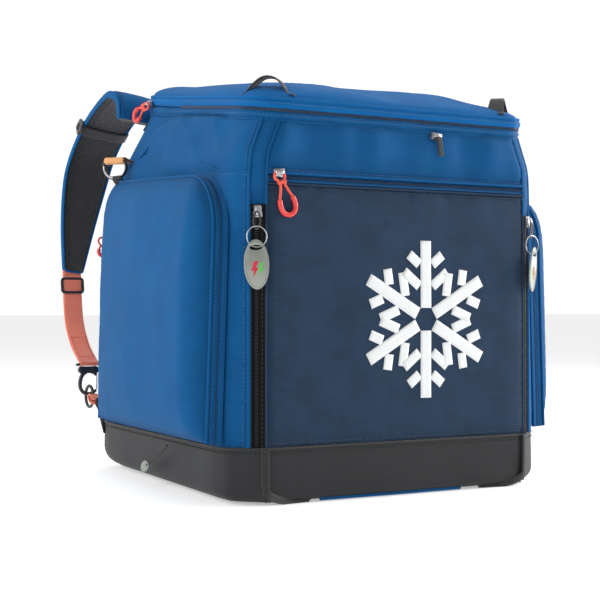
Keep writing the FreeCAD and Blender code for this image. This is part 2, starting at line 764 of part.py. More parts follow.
def build_pocket_sliders():
    back = size("flap_back") + size("front_reach") - size("corner_depth") - size("shoulder_depth")
    up = size("flap_top") - TUB - size("flap_round") - size("slider_long")
    rear = Placement(Vector(-float(size("band_depth")) / 2, float(back + GAP), float(up)),
                     Rotation(Vector(0, 0, 1), 180))
    place = side_place().multiply(rear)
    pair("pocket_slider", put(tab_pull("pocket_slider"), place))
    places["pocket_slider"] = (place.Base, place.Rotation.multVec(Vector(0, 0, -1)))


# ---------------------------------------------------------------- straps

PAD_ROUTE = [(153, 430), (156, 451), (172, 462), (197, 460), (240, 442), (272, 418), (295, 388), (306, 350),
             (309, 300), (305, 247)]
WEBBING_ROUTE = [(305, 245), (296, 182), (274, 152), (243, 130)]
STRAP_X, STRAP_TOP = -150, 460
WEBBING_X = -181
WEBBING_END = 1.9


def build_straps():
    knee, _ = ring_points("knee")
    seam, _ = ring_points("seam")
    fall = float(knee[4][1] - seam[4][1]), float(size("seam_back") - KNEE)
    slope = math.degrees(math.atan2(*fall))
    wide = size("webbing") * 0.9
    thick = size("webbing_thick")
    root = centred("strap_root", (0, -thick, 0), (-seam[4][0] * 2 - wide, thick, wide))
    share = 0.18
    at_y = float(seam[4][1]) + fall[0] * share
    root = group("strap_root", root)
    keep("strap_root", put(root, standing(0, at_y, float(size("seam_back")) - fall[1] * share, 180, -slope)))

    hang = Placement(Vector(STRAP_X, 0, STRAP_TOP), Rotation(Vector(0, 1, 0), float(size("strap_tilt"))))
    lowered = [(y, z - STRAP_TOP) for y, z in PAD_ROUTE]
    pair("strap_pad", strip("strap_pad", lowered, size("pad_thick"), size("pad_width"), hang))
    straight = Placement(Vector(WEBBING_X, 0, 0), Rotation())
    webbing = strip("webbing_strip", WEBBING_ROUTE, size("webbing_thick"), size("webbing"), straight)
    end_y, end_z = WEBBING_ROUTE[-1]
    bar_high = size("end_bar_high")
    end_bar = centred("webbing_bar", (WEBBING_X, end_y, end_z - bar_high / 2 - WEBBING_END),
                      (size("webbing") + size("end_bar_over"), size("end_bar_deep"), bar_high))
    pair("strap_webbing", group("strap_webbing", webbing, end_bar))

    loose, rim, long = size("keeper_room"), size("keeper_rim"), size("keeper_long")
    wide, thick = size("pad_width") + loose, size("pad_thick") + loose
    sleeve = centred("keeper_out", (0, 0, 0), (wide + rim, thick + rim, long))
    room = centred("keeper_in", (0, 0, 0), (wide, thick, long * 2))
    keeper = cut("strap_keeper", sleeve, room)
    (y0, z0), (y1, z1) = lowered[4], lowered[5]
    bend = math.degrees(math.atan2(y1 - y0, z0 - z1))
    own = Placement(Vector(0, (y0 + y1) / 2, (z0 + z1) / 2), Rotation(Vector(1, 0, 0), bend))
    keeper.Placement = hang.multiply(own)
    doc.recompute()
    pair("strap_keeper", keeper)


def build_triglides():
    """A flat buckle round the webbing, free to slide along its straight run."""
    loose, rim, long = size("glide_room"), size("glide_rim"), size("glide_long")
    wide, thick = size("webbing") + loose, size("webbing_thick") + loose
    frame = centred("triglide_out", (0, 0, 0), (wide + rim, thick + rim, long))
    room = centred("triglide_in", (0, 0, 0), (wide, thick, long * 2))
    (y0, z0), (y1, z1) = WEBBING_ROUTE[:2]
    down = Vector(0, y1 - y0, z1 - z0)
    down.normalize()
    middle = Vector(WEBBING_X, y0, z0) + down * float(size("glide_at"))
    lean = math.degrees(math.atan2(y1 - y0, z0 - z1))
    place = Placement(middle, Rotation(Vector(1, 0, 0), lean))
    pair("triglide", put(cut("triglide", frame, room), place))
    places["triglide"] = (middle, down)


def build_hooks():
    """A snap hook below the webbing, its spring gate, and the ring that it is clipped to."""
    wide, high, thick = size("hook_wide"), size("hook_high"), size("hook_thick")
    y, low = WEBBING_ROUTE[-1][0], size("hook_low")
    x = Size.of(WEBBING_X)
    outline = [(x - wide / 2, low), (x + wide / 2, low), (x + wide / 2, low + high), (x - wide / 2, low + high)]
    hook = pad("snap_hook", "XZ", outline, thick, -y - thick / 2)
    inner = [(x - wide / 2 + thick, low + thick), (x + wide / 2 - thick, low + thick),
             (x + wide / 2 - thick, low + high - thick), (x - wide / 2 + thick, low + high - thick)]
    pocket(hook, "XZ", inner, thick * 2, -y + thick)
    gate_low, gate_high = low + thick + 2, low + high - thick - 4
    mouth = [(x + wide / 2 - thick * 2, gate_low), (x + wide / 2 + thick, gate_low),
             (x + wide / 2 + thick, gate_high), (x + wide / 2 - thick * 2, gate_high)]
    pocket(hook, "XZ", mouth, thick * 2, -y + thick)
    gate = centred("hook_gate", (x + wide / 2 - thick / 2, y, (gate_low + gate_high) / 2),
                   (thick * 0.6, thick * 0.6, gate_high - gate_low - 1))
    pair("snap_hook", hook)
    pair("hook_gate", gate)
    places["hook"] = (Vector(WEBBING_X, y, float(low + high)), Vector(0, 0, 1))
    places["gate"] = (Vector(float(x + wide / 2 - thick / 2), y, float(gate_high) - 1.5), Vector(0, 1, 0))

    ring_y, ring_z = y - 4.5, low - 0.5
    radius, wire = size("low_ring_radius"), size("low_ring_wire")
    ring = torus("low_ring", (x, ring_y, ring_z), (1, 0, 0), radius, wire)
    deep = size("low_tab_deep")
    tab = centred("low_tab", (x, ring_y - radius - deep / 4, ring_z - 5),
                  (size("low_tab_wide"), deep, size("low_tab_high")))
    room = torus("low_tab_room", (x, ring_y, ring_z), (1, 0, 0), radius, wire + 1)
    looped = cut("low_tab_looped", tab, room)
    wall_y = float(size("back_side_reach")) + 3
    tab_y = float(ring_y - radius - 12)
    outline = [(wall_y, TUB - 16), (tab_y, ring_z - 9), (tab_y, ring_z - 1), (wall_y, TUB + 34)]
    wing = pad("low_wing", "YZ", outline, size("wall"), x - size("wall") / 2)
    pair("lower_anchor", group("lower_anchor", ring, looped, wing))


def build_dee_rings():
    """A webbing loop on each upper back corner, and the D-ring that hangs in it."""
    wide, high, wire = size("dee_wide"), size("dee_high"), size("dee_wire")
    outer = [(-wide / 2, wire / 2), (-wide / 2, -high * 0.45), (-wide * 0.3, -high * 0.85), (0, -high),
             (wide * 0.3, -high * 0.85), (wide / 2, -high * 0.45), (wide / 2, wire / 2)]
    dee = pad("dee_ring", "XZ", outer, wire, -wire / 2)
    side, floor = wide / 2 - wire, -high + wire
    inner = [(-side, -wire / 2), (-side, -high * 0.42), (-wide * 0.21, floor * 0.86), (0, floor),
             (wide * 0.21, floor * 0.86), (side, -high * 0.42), (side, -wire / 2)]
    pocket(dee, "XZ", inner, wire * 2, wire)
    sleeve_out = centred("dee_loop_out", (0, 0, 0), (side * 2 - 2, wire + 5, wire + 5))
    sleeve_in = centred("dee_loop_in", (0, 0, 0), (side * 3, wire + 2, wire + 2))
    lug = centred("dee_lug", (0, wire / 2 + 8, 0), (side * 2 - 2, 11.6, 3))
    loop = fuse("dee_loop", cut("dee_sleeve", sleeve_out, sleeve_in), lug)
    place = standing(*DEE_PLACE)
    pair("dee_ring", put(dee, place))
    pair("dee_loop", put(loop, place))
    places["dee"] = (place.Base, place.Rotation.multVec(Vector(-1, 0, 0)))


# ---------------------------------------------------------------- heating

def build_heating():
    """Two warm mats on the side walls, their control box on the front wall and its two power inlets."""
    foot, _ = ring_points("foot")
    reach = -foot[3][0] - size("knee_side_in") - size("mat_thick") * 2
    thick, deep, low = size("mat_thick"), size("mat_deep"), TUB + size("pad_lift")
    mats = [box("heat_mat", (reach * side - thick / 2, -deep / 2, low), (thick, deep, size("mat_high")))
            for side in (-1, 1)]
    doc.recompute()
    keep("heat_mats", group("heat_mats", *mats))
    inside = FRONT + size("panel_thick") + size("pocket_room") + WALL + GAP
    unit = box("heater_unit", (-size("unit_wide") / 2, inside, TUB + size("pad_lift")),
               (size("unit_wide"), size("unit_deep"), size("unit_high")))
    keep("heater_unit", unit)
    level = TUB + size("pad_lift") + size("unit_high") / 2
    out, back = size("unit_wide") / 2, inside + size("unit_deep") / 2
    radius, long = size("inlet_radius"), size("inlet_long")
    inlets = [cylinder("inlet", (out * side, back, level), (side, 0, 0), radius, long) for side in (-1, 1)]
    keep("power_inlets", group("power_inlets", *inlets))


def build_base_cord():
    """A short cord with an oval metal end, hanging from the seam of the left side."""
    start = Vector(CORD_X, *CORD_ROUTE[0])
    cord = rounded_path([(CORD_X, y, z) for y, z in CORD_ROUTE])
    way = cord.Edges[0].tangentAt(cord.Edges[0].FirstParameter)
    section = Part.Wire([Part.makeCircle(float(size("cord_wire")) / 2, start, way)])
    made = doc.addObject("Part::Feature", "base_cord_line")
    made.Shape = cord.makePipeShell([section], True, False)
    long, high, thick = size("cord_end_long"), size("cord_end_high"), size("cord_end_thick")
    end_y, end_z = CORD_END
    outline = oval(Size.of(end_y), Size.of(end_z), long, high)
    plate = pad("base_cord_end", "YZ", outline, thick, CORD_X - thick / 2)
    keep("base_cord", group("base_cord", made, plate))
    places["base_cord"] = (start, Vector(1, 0, 0))


def write_parts():
    """Checks every object and node, then writes each node's STEP file."""
    doc.recompute()
    for obj in doc.Objects:
        if {"Invalid", "Error"} & set(obj.State):
            raise RuntimeError(f"{obj.Label} failed: {obj.State}")
    os.makedirs("parts", exist_ok=True)
    for name in os.listdir("parts"):
        if name.endswith(".step"):
            os.remove(os.path.join("parts", name))
    for label, obj in nodes.items():
        if obj.Shape.isNull() or not obj.Shape.isValid():
            raise RuntimeError(f"{label} has no valid shape")
        obj.Shape.exportStep(f"parts/{label}.step")
    print(len(nodes), "nodes")


build_floor()
build_walls()
build_lid()
build_lid_zip()
build_grab_loops()
build_side_pockets()
build_front_zip_slider()
build_corner_hardware()
build_lid_sliders()
build_pocket_sliders()
build_straps()
build_triglides()
build_hooks()
build_dee_rings()
build_heating()
build_base_cord()
write_parts()
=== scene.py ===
# %% [markdown]
# # A ski boot bag, dressed around its frame
#
# The bag is a boxy backpack: a coated black base, blue cloth walls, a domed lid on a zip, a flat
# navy front pocket, two puffed side pockets and two clip-on shoulder straps. The imported frame
# already says where every piece sits and how it moves. This lesson only adds what the eye sees.
#
# We load the frame first and note its box.

# %% Load the frame
import json
import math

import bmesh
import bpy
from mathutils import Matrix, Vector, noise

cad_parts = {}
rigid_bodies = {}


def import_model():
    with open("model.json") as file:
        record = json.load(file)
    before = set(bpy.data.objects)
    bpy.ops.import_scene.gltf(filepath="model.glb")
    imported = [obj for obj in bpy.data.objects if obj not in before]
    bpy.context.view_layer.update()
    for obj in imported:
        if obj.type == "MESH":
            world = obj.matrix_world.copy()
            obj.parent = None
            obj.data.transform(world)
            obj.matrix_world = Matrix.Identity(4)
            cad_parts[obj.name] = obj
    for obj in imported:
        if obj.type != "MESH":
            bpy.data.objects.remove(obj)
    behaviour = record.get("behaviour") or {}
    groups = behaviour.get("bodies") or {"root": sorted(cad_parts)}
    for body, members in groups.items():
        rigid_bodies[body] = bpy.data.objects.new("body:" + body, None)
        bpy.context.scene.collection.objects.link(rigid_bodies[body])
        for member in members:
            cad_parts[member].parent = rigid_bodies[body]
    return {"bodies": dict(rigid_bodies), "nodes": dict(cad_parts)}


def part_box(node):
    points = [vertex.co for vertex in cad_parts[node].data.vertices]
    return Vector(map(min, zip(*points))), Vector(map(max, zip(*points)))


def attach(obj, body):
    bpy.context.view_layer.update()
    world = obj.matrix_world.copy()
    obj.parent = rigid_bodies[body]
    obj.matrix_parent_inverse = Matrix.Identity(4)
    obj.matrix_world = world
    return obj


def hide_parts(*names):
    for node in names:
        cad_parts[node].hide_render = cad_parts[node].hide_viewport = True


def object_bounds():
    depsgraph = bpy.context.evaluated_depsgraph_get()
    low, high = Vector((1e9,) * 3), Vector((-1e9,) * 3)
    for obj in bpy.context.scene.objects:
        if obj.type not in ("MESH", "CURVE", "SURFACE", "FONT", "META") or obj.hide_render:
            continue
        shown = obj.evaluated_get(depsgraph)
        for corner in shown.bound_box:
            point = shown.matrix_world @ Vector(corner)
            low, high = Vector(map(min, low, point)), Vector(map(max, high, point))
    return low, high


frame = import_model()
cad_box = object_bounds()

# %% [markdown]
# ## Camera, floor and light
#
# We look at the bag from a step to its left, at the height of its middle, through a long lens, so
# that upright edges stay upright. The floor and the air round it are nearly white.
# Two wide soft lights, one on each side, make the two flanks brighter than the front. A weaker
# light above and a faint one in front fill the shadows. The air is brighter behind the bag than
# it is behind the camera.

# %% Camera
EYE = Vector((-0.795, -1.398, 0.198))
LOOK = Vector((0.492, 0.870, 0.0067))
LENS = 80.4

camera_data = bpy.data.cameras.new("camera")
camera_data.lens = LENS
camera = bpy.data.objects.new("camera", camera_data)
bpy.context.scene.collection.objects.link(camera)
camera.location = EYE
camera.rotation_mode = "QUATERNION"
camera.rotation_quaternion = LOOK.to_track_quat("-Z", "Y")
bpy.context.scene.camera = camera
print("camera stands", round(EYE.length, 2), "m from the bag")


# %% Light
def soft_light(name, place, width, power):
    """A square area light that faces the middle of the bag."""
    data = bpy.data.lights.new(name, "AREA")
    data.size = width
    data.energy = power
    lamp = bpy.data.objects.new(name, data)
    bpy.context.scene.collection.objects.link(lamp)
    lamp.location = place
    aim = MIDDLE - Vector(place)
    lamp.rotation_mode = "QUATERNION"
    lamp.rotation_quaternion = aim.to_track_quat("-Z", "Y")


MIDDLE = (cad_box[0] + cad_box[1]) / 2
soft_light("left_light", (-2.2, 0.3, 1.1), 1.6, 38)
soft_light("right_light", (1.9, -0.5, 0.9), 1.4, 52)
soft_light("top_light", (0.1, -0.2, 2.4), 1.8, 16)
soft_light("front_light", (-0.6, -2.6, 1.0), 1.5, 5)

world = bpy.data.worlds.new("studio")
bpy.context.scene.world = world
world.use_nodes = True
air = world.node_tree
backdrop = air.nodes["Background"]
backdrop.inputs["Color"].default_value = (1, 1, 1, 1)
sky_way = air.nodes.new("ShaderNodeTexCoord")
toward = air.nodes.new("ShaderNodeVectorMath")
toward.operation = "DOT_PRODUCT"
toward.inputs[1].default_value = LOOK.normalized()
air.links.new(sky_way.outputs["Generated"], toward.inputs[0])
ramp = air.nodes.new("ShaderNodeMapRange")
AIR = {"From Min": -0.1, "From Max": 0.85, "To Min": 0.27, "To Max": 1.06}
for label, value in AIR.items():
    ramp.inputs[label].default_value = value
air.links.new(toward.outputs["Value"], ramp.inputs["Value"])
air.links.new(ramp.outputs["Result"], backdrop.inputs["Strength"])
bpy.context.scene.view_settings.view_transform = "Standard"

# %% [markdown]
# ## Finishes
#
# Every finish is a small node tree. A shader socket is wrapped in a class that knows the signs of
# arithmetic, so that a pattern is written as a formula: `dye * 0.5 + 0.1` adds its own nodes. One
# method makes any other node. Patterns that follow the cloth read a UV map that is laid out in
# metres, and everything else reads the object's own coordinates.

# %% Sockets that can be added up
class Wire:
    """A shader socket that takes part in sums."""

    def __init__(self, finish, socket):
        self.finish, self.socket = finish, socket

    def _with(self, operation, first, second=None):
        values = {0: first} if second is None else {0: first, 1: second}
        return self.finish.node("ShaderNodeMath", {"operation": operation}, values)

    def __add__(self, other):
        return self._with("ADD", self, other)

    def __sub__(self, other):
        return self._with("SUBTRACT", self, other)

    def __mul__(self, other):
        return self._with("MULTIPLY", self, other)

    def __radd__(self, other):
        return self._with("ADD", other, self)

    def __gt__(self, other):
        return self._with("GREATER_THAN", self, other)

    def sine(self):
        return self._with("SINE", self)

    def size(self):
        return self._with("ABSOLUTE", self)


class Finish:
    """One material. node() makes any node: its settings are set first, then its sockets."""

    def __init__(self, name):
        self.material = bpy.data.materials.new(name)
        self.material.use_nodes = True
        self.tree = self.material.node_tree
        self.tree.nodes.clear()

    def node(self, kind, settings=None, values=None, out=0):
        made = self.tree.nodes.new(kind)
        for key, value in (settings or {}).items():
            setattr(made, key, value)
        for key, value in (values or {}).items():
            if isinstance(value, Wire):
                self.tree.links.new(value.socket, made.inputs[key])
            else:
                made.inputs[key].default_value = value
        return Wire(self, made.outputs[out])

    def place(self, cloth=True):
        """The three coordinates of a point: along and across the cloth, or in space."""
        if cloth:
            return self.node("ShaderNodeUVMap", {"uv_map": "cloth"})
        return self.node("ShaderNodeTexCoord", out=3)

    def split(self, place):
        made = self.tree.nodes.new("ShaderNodeSeparateXYZ")
        self.tree.links.new(place.socket, made.inputs[0])
        return [Wire(self, made.outputs[i]) for i in range(3)]

    def noise(self, place, scale, detail=3.0, rough=0.55):
        return self.node("ShaderNodeTexNoise", None,
                         {"Vector": place, "Scale": scale, "Detail": detail, "Roughness": rough})

    def blend(self, share, first, second):
        """A colour between two colours."""
        return self.node("ShaderNodeMix", {"data_type": "RGBA"}, {0: share, 6: first, 7: second}, out=2)

    def bump(self, height, depth, strength=1.0):
        return self.node("ShaderNodeBump", None, {"Height": height, "Distance": depth, "Strength": strength})

    def surface(self, colour, roughness, bump=None, **constants):
        """Ends the tree in a Principled shader."""
        values = {"Base Color": colour, "Roughness": roughness}
        if bump is not None:
            values["Normal"] = bump
        for name, value in constants.items():
            values[name.replace("_", " ").title().replace("Ior", "IOR")] = value
        shader = self.node("ShaderNodeBsdfPrincipled", None, values)
        output = self.tree.nodes.new("ShaderNodeOutputMaterial")
        self.tree.links.new(shader.socket, output.inputs["Surface"])
        return self.material


def srgb(red, green, blue):
    """A screen colour, 0 to 255, as the linear colour that a shader takes."""
    linear = [((c / 255 + 0.055) / 1.055) ** 2.4 if c > 10 else c / 255 / 12.92 for c in (red, green, blue)]
    return (*linear, 1.0)


print("helpers for finishes are ready")


# %% [markdown]
# ### Woven cloth
#
# The walls are a plain polyester weave. Two crossed waves give the threads, a slow noise gives the
# way in which dyed cloth varies, and an attribute called hem darkens the cloth beside its seams:
# painted shade where the layers shade each other, together with the dust that settles there.

# %% Woven cloth
THREAD = 0.0011


def woven(name, light, dark, thread=THREAD, depth=0.00022, rough=0.78, sheen=0.04, hem_dark=0.45):
    """Plain weave: crossed threads, uneven dye, and hems darkened with painted shade and dust."""
    f = Finish(name)
    along, across, _ = f.split(f.place())
    step = 2 * math.pi / thread
    weave = (along * step).sine() * (across * step).sine()
    ribs = (along * (step * 0.5)).sine().size() * 0.5
    dye = f.noise(f.place(), 26, 4)
    slub = f.noise(f.node("ShaderNodeMapping", None, {"Vector": f.place(), "Scale": (30, 700, 1)}), 1.0, 2)
    # painted shade: weave * 0.06 makes the thread crests a little lighter and the gaps between threads a
    # little darker
    share = dye * 0.75 + slub * 0.35 - 0.12 + weave * 0.06
    cloth = f.blend(share, dark, light)
    # painted shade and dust: the hem attribute darkens the cloth beside its seams, where the layers shade
    # each other and dust settles
    hem = f.node("ShaderNodeAttribute", {"attribute_name": "hem"}, out=2)
    deep = tuple(c * hem_dark for c in dark[:3]) + (1.0,)
    colour = f.blend(hem * 0.5, cloth, deep)
    height = weave * 0.5 + ribs * 0.3 + slub * 0.6 + dye * 0.5
    roughness = rough - 0.08 + dye * 0.14
    return f.surface(colour, roughness, f.bump(height, depth, 0.7), sheen_weight=sheen, sheen_roughness=0.4,
                     specular_ior_level=0.10)


BLUE = woven("blue_weave", srgb(20, 96, 152), srgb(4, 68, 118))
# painted light: the lid is the walls' own blue cloth, given a lighter copy of their blue for the light that
# falls on its top
LID_BLUE_PAINTED_LIGHTER = woven("lid_weave_painted_lighter", srgb(14, 108, 172), srgb(2, 78, 138))
NAVY = woven("navy_weave", srgb(50, 72, 98), srgb(24, 40, 60), rough=0.7)
ZIP_BLUE = woven("zip_tape_weave", srgb(8, 96, 152), srgb(1, 66, 116), thread=0.0007, rough=0.66)
BLACK = woven("black_weave", srgb(28, 28, 31), srgb(15, 15, 17), rough=0.72)
LINING = woven("lining_weave", srgb(70, 76, 84), srgb(46, 50, 58), thread=0.0008, rough=0.85, sheen=0.1)
print("woven finishes:", 6)

# %% [markdown]
# ### Coated base, mesh, webbing and boards
#
# The base is a tarpaulin with a fine pebbled coating, so its bump comes from cells rather than
# threads. Spacer mesh is a field of small holes, painted dark as the shade that falls inside them.
# Webbing is woven in ribs that run along its length, with a diagonal twill across them; their crests
# are painted lighter and the grooves darker, as painted shade.

# %% Coated cloth, mesh and webbing
def coated(name, light, dark):
    """Tarpaulin: pebbled coating with faint scuffs."""
    f = Finish(name)
    place = f.place(cloth=False)
    pebble = f.node("ShaderNodeTexVoronoi", {"feature": "SMOOTH_F1"}, {"Vector": place, "Scale": 520.0})
    cloud = f.noise(place, 22, 5)
    scuff = f.noise(f.node("ShaderNodeMapping", None, {"Vector": place, "Scale": (14, 14, 160)}), 1.0, 3)
    hem = f.node("ShaderNodeAttribute", {"attribute_name": "hem"}, out=2)
    colour = f.blend(cloud * 0.7 + scuff * 0.3 + hem * 0.25, dark, light)
    height = pebble * 0.8 + cloud * 0.5
    return f.surface(colour, 0.5 + cloud * 0.16, f.bump(height, 0.0003, 0.55), coat_weight=0.02,
                     coat_roughness=0.45, specular_ior_level=0.28)


def spacer_mesh(name, light, dark, hole=0.0034):
    """Spacer mesh: rows of holes, each row set half a hole along from the next, painted dark as the shade
    inside them.
    """
    f = Finish(name)
    along, across, _ = f.split(f.place())
    step = 2 * math.pi / hole
    one = (along * step).sine() * (across * step).sine()
    # painted shade: the holes are painted dark, standing in for the shade that falls inside them
    hole_shade = (one > 0.25) * 0.8
    fuzz = f.noise(f.place(), 900, 2)
    colour = f.blend(hole_shade + fuzz * 0.15, light, dark)
    relief = f.bump(one * -0.8 + fuzz * 0.3, 0.0006, 0.8)
    return f.surface(colour, 0.85 + fuzz * 0.1, relief, sheen_weight=0.3)


def webbing(name, light, dark, rib=0.0021):
    """Ribbed strap: ribs along its length with a twill across them, painted lighter on their crests and
    darker in their grooves as painted shade.
    """
    f = Finish(name)
    along, across, _ = f.split(f.place())
    ribs = (across * (2 * math.pi / rib)).sine()
    twill = ((along + across) * (2 * math.pi / 0.0016)).sine()
    wear = f.noise(f.place(), 90, 4)
    # painted shade: the ribs and the twill also set the colour, lighter on their crests and darker between
    # them
    colour = f.blend(ribs * 0.16 + twill * 0.12 + wear * 0.5 + 0.2, dark, light)
    relief = f.bump(ribs * 0.7 + twill * 0.4, 0.00035, 0.8)
    return f.surface(colour, 0.6 + wear * 0.2, relief, sheen_weight=0.3, sheen_roughness=0.4)


COATED = coated("coated_base", srgb(43, 44, 46), srgb(25, 26, 28))
MESH = spacer_mesh("spacer_mesh", srgb(30, 30, 32), srgb(7, 7, 8))
BLACK_STRAP = webbing("black_webbing", srgb(50, 50, 52), srgb(24, 24, 26))
ORANGE_STRAP = webbing("orange_webbing", srgb(255, 156, 124), srgb(238, 110, 88))
TAN_STRAP = webbing("tan_webbing", srgb(248, 190, 128), srgb(222, 148, 92))
BINDING = webbing("black_binding", srgb(40, 40, 42), srgb(20, 20, 21), rib=0.0014)
print("straps, mesh and base are ready")

# %% [markdown]
# ### Metal, moulded plastic, rubber, print and thread
#
# Hard parts read the object's own coordinates. Metal gets fine brushing in its roughness, moulded
# plastic a grain, and rubber a soft coat. The print is ink that lets the weave show through.

# %% Hard finishes
def brushed(name, light, dark, rough, stretch=(60, 60, 2600)):
    """Metal with fine lines and small dents."""
    f = Finish(name)
    place = f.place(cloth=False)
    lines = f.noise(f.node("ShaderNodeMapping", None, {"Vector": place, "Scale": stretch}), 1.0, 2)
    dents = f.noise(place, 320, 3)
    colour = f.blend(lines * 0.6 + dents * 0.4, dark, light)
    return f.surface(colour, rough + lines * 0.18, f.bump(lines * 0.4 + dents, 0.0001, 0.4), metallic=1.0)


def moulded(name, light, dark, rough=0.42, coat=0.1):
    """Moulded plastic or rubber with a fine grain."""
    f = Finish(name)
    place = f.place(cloth=False)
    grain = f.noise(place, 1400, 2)
    cloud = f.noise(place, 70, 3)
    colour = f.blend(cloud * 0.8 + grain * 0.2, dark, light)
    return f.surface(colour, rough + cloud * 0.12, f.bump(grain, 0.00012, 0.5), coat_weight=coat,
                     coat_roughness=0.3)


def printed(name, light, dark):
    """Thick ink on cloth."""
    f = Finish(name)
    along, across, _ = f.split(f.place())
    step = 2 * math.pi / THREAD
    weave = (along * step).sine() * (across * step).sine()
    cloud = f.noise(f.place(cloth=False), 60, 4)
    colour = f.blend(cloud, dark, light)
    return f.surface(colour, 0.5 + cloud * 0.15, f.bump(weave * 0.6 + cloud, 0.00012, 0.6))


def braided(name, light, dark, diameter):
    """Round cord with crossing strands, painted lighter on their crests and darker between them as painted
    shade.
    """
    f = Finish(name)
    along, across, _ = f.split(f.place())
    turn = 2 * math.pi / (math.pi * diameter)
    one = (along * (turn * 2) + across * (turn * 2)).sine()
    other = (along * (turn * 2) - across * (turn * 2)).sine()
    fuzz = f.noise(f.place(cloth=False), 900, 2)
    # painted shade: the strand waves also set the colour, lighter on their crests and darker between them
    colour = f.blend(one * 0.2 + other * 0.2 + fuzz * 0.4 + 0.3, dark, light)
    return f.surface(colour, 0.6 + fuzz * 0.2, f.bump(one * 0.5 + other * 0.5, 0.0002, 0.7))


STEEL = brushed("satin_steel", srgb(214, 214, 216), srgb(150, 150, 154), 0.22)
TAG = brushed("tag_alloy", srgb(168, 172, 164), srgb(136, 140, 132), 0.36)
PLASTIC = moulded("black_plastic", srgb(46, 46, 48), srgb(26, 26, 28))
DARK_PULL = moulded("dark_pull", srgb(54, 54, 58), srgb(30, 30, 33), rough=0.34, coat=0.25)
RUBBER = moulded("red_rubber", srgb(240, 78, 70), srgb(214, 48, 50), rough=0.36, coat=0.2)
RED_CORD = braided("red_cord", srgb(246, 104, 78), srgb(214, 66, 52), 0.0028)
BLACK_CORD = braided("black_cord", srgb(52, 52, 54), srgb(26, 26, 28), 0.0022)
WHITE_INK = printed("white_print", srgb(236, 238, 238), srgb(222, 225, 225))
RED_INK = printed("red_print", srgb(206, 32, 66), srgb(180, 22, 52))
GREEN_INK = printed("green_print", srgb(92, 190, 70), srgb(66, 160, 52))
BLUE_THREAD = moulded("blue_thread", srgb(60, 118, 172), srgb(34, 82, 130), rough=0.6, coat=0.0)
NAVY_THREAD = moulded("navy_thread", srgb(62, 78, 100), srgb(40, 52, 72), rough=0.6, coat=0.0)
BLACK_THREAD = moulded("black_thread", srgb(40, 40, 42), srgb(20, 20, 22), rough=0.55, coat=0.0)
ORANGE_THREAD = moulded("orange_thread", srgb(200, 60, 50), srgb(160, 40, 36), rough=0.6, coat=0.0)
COIL = moulded("zip_coil", srgb(30, 66, 106), srgb(16, 40, 70), rough=0.38, coat=0.2)
DARK_COIL = moulded("dark_coil", srgb(40, 40, 44), srgb(20, 20, 22), rough=0.38, coat=0.2)
BOARD = moulded("grey_board", srgb(150, 150, 148), srgb(120, 120, 118), rough=0.7, coat=0.0)
QUILT = woven("warm_mat_cloth", srgb(96, 98, 104), srgb(66, 68, 74), thread=0.0016, rough=0.5, sheen=0.1)
UNIT = moulded("heater_case", srgb(70, 72, 76), srgb(48, 50, 54), rough=0.5)
print("materials made:", len(bpy.data.materials))

# %% [markdown]
# ## Shapes
#
# A shape is only points, faces and the cloth's own map, so it can be turned, mirrored and joined
# before it becomes an object. Most of the bag is either a sheet, which is a grid of points that
# gets a thickness, or a sweep, which carries a small section along a path.

# %% The shape class
class Shape:
    """Points, faces and a map in metres for each face corner."""

    def __init__(self, points=(), faces=(), maps=None, hem=None):
        self.points = [Vector(p) for p in points]
        self.faces = [tuple(f) for f in faces]
        self.maps = maps or [[(self.points[i].x, self.points[i].z) for i in f] for f in self.faces]
        self.hem = list(hem) if hem is not None else [0.0] * len(self.points)

    def join(self, *others):
        for other in others:
            start = len(self.points)
            self.points += [p.copy() for p in other.points]
            self.faces += [tuple(i + start for i in f) for f in other.faces]
            self.maps += [list(m) for m in other.maps]
            self.hem += other.hem
        return self

    def moved(self, matrix):
        made = Shape([matrix @ p for p in self.points], self.faces, [list(m) for m in self.maps], self.hem)
        return made if matrix.determinant() > 0 else made.turned()

    def mirrored(self):
        return self.moved(Matrix.Diagonal((-1, 1, 1, 1)))

    def turned(self):
        """The same shape with its faces turned over."""
        self.faces = [tuple(reversed(f)) for f in self.faces]
        self.maps = [list(reversed(m)) for m in self.maps]
        return self

    def facing(self, centre):
        """Turns an open sheet so that its faces look away from a point."""
        total = 0.0
        for f in self.faces:
            a, b, c = (self.points[i] for i in f[:3])
            total += (b - a).cross(c - a).dot(a - centre)
        return self if total > 0 else self.turned()

    def seen_from_above(self, face):
        """A face's map, as it is seen from above."""
        return [(self.points[i].x, self.points[i].y) for i in face]

    def add_face(self, face):
        face = tuple(face)
        self.faces.append(face)
        self.maps.append(self.seen_from_above(face))

    def close_ends(self, size):
        """Closes a tube whose rows have that many points."""
        last = len(self.points) - size
        self.add_face(reversed(range(size)))
        self.add_face(range(last, last + size))
        return self


def spread(start, end, count):
    """Evenly spaced numbers from start to end, one more than the count of steps."""
    return [start + (end - start) * i / count for i in range(count + 1)]


def lengths(points):
    """How far each point of a line lies along it."""
    run = [0.0]
    for a, b in zip(points, points[1:]):
        run.append(run[-1] + (b - a).length)
    return run


def grid(rows, wrap=False, hem=None):
    """A sheet from rows of points. With wrap, each row closes on itself."""
    high, wide = len(rows), len(rows[0])
    points = [p for row in rows for p in row]
    middle = rows[high // 2] + ([rows[high // 2][0]] if wrap else [])
    along, up = lengths(middle), lengths([row[wide // 2] for row in rows])
    faces, maps = [], []
    for i in range(high - 1):
        for j in range(wide if wrap else wide - 1):
            k = (j + 1) % wide
            faces.append((i * wide + j, i * wide + k, (i + 1) * wide + k, (i + 1) * wide + j))
            left, right, low, high_up = along[j], along[j + 1], up[i], up[i + 1]
            maps.append([(left, low), (right, low), (right, high_up), (left, high_up)])
    return Shape(points, faces, maps, hem)


print("shape helpers are ready")

# %% [markdown]
# A sweep needs a steady frame: at each point of the path it uses the direction of travel and an
# up direction, either given once or given for each point. The section is a list of pairs, the
# first across the path and the second up from it.

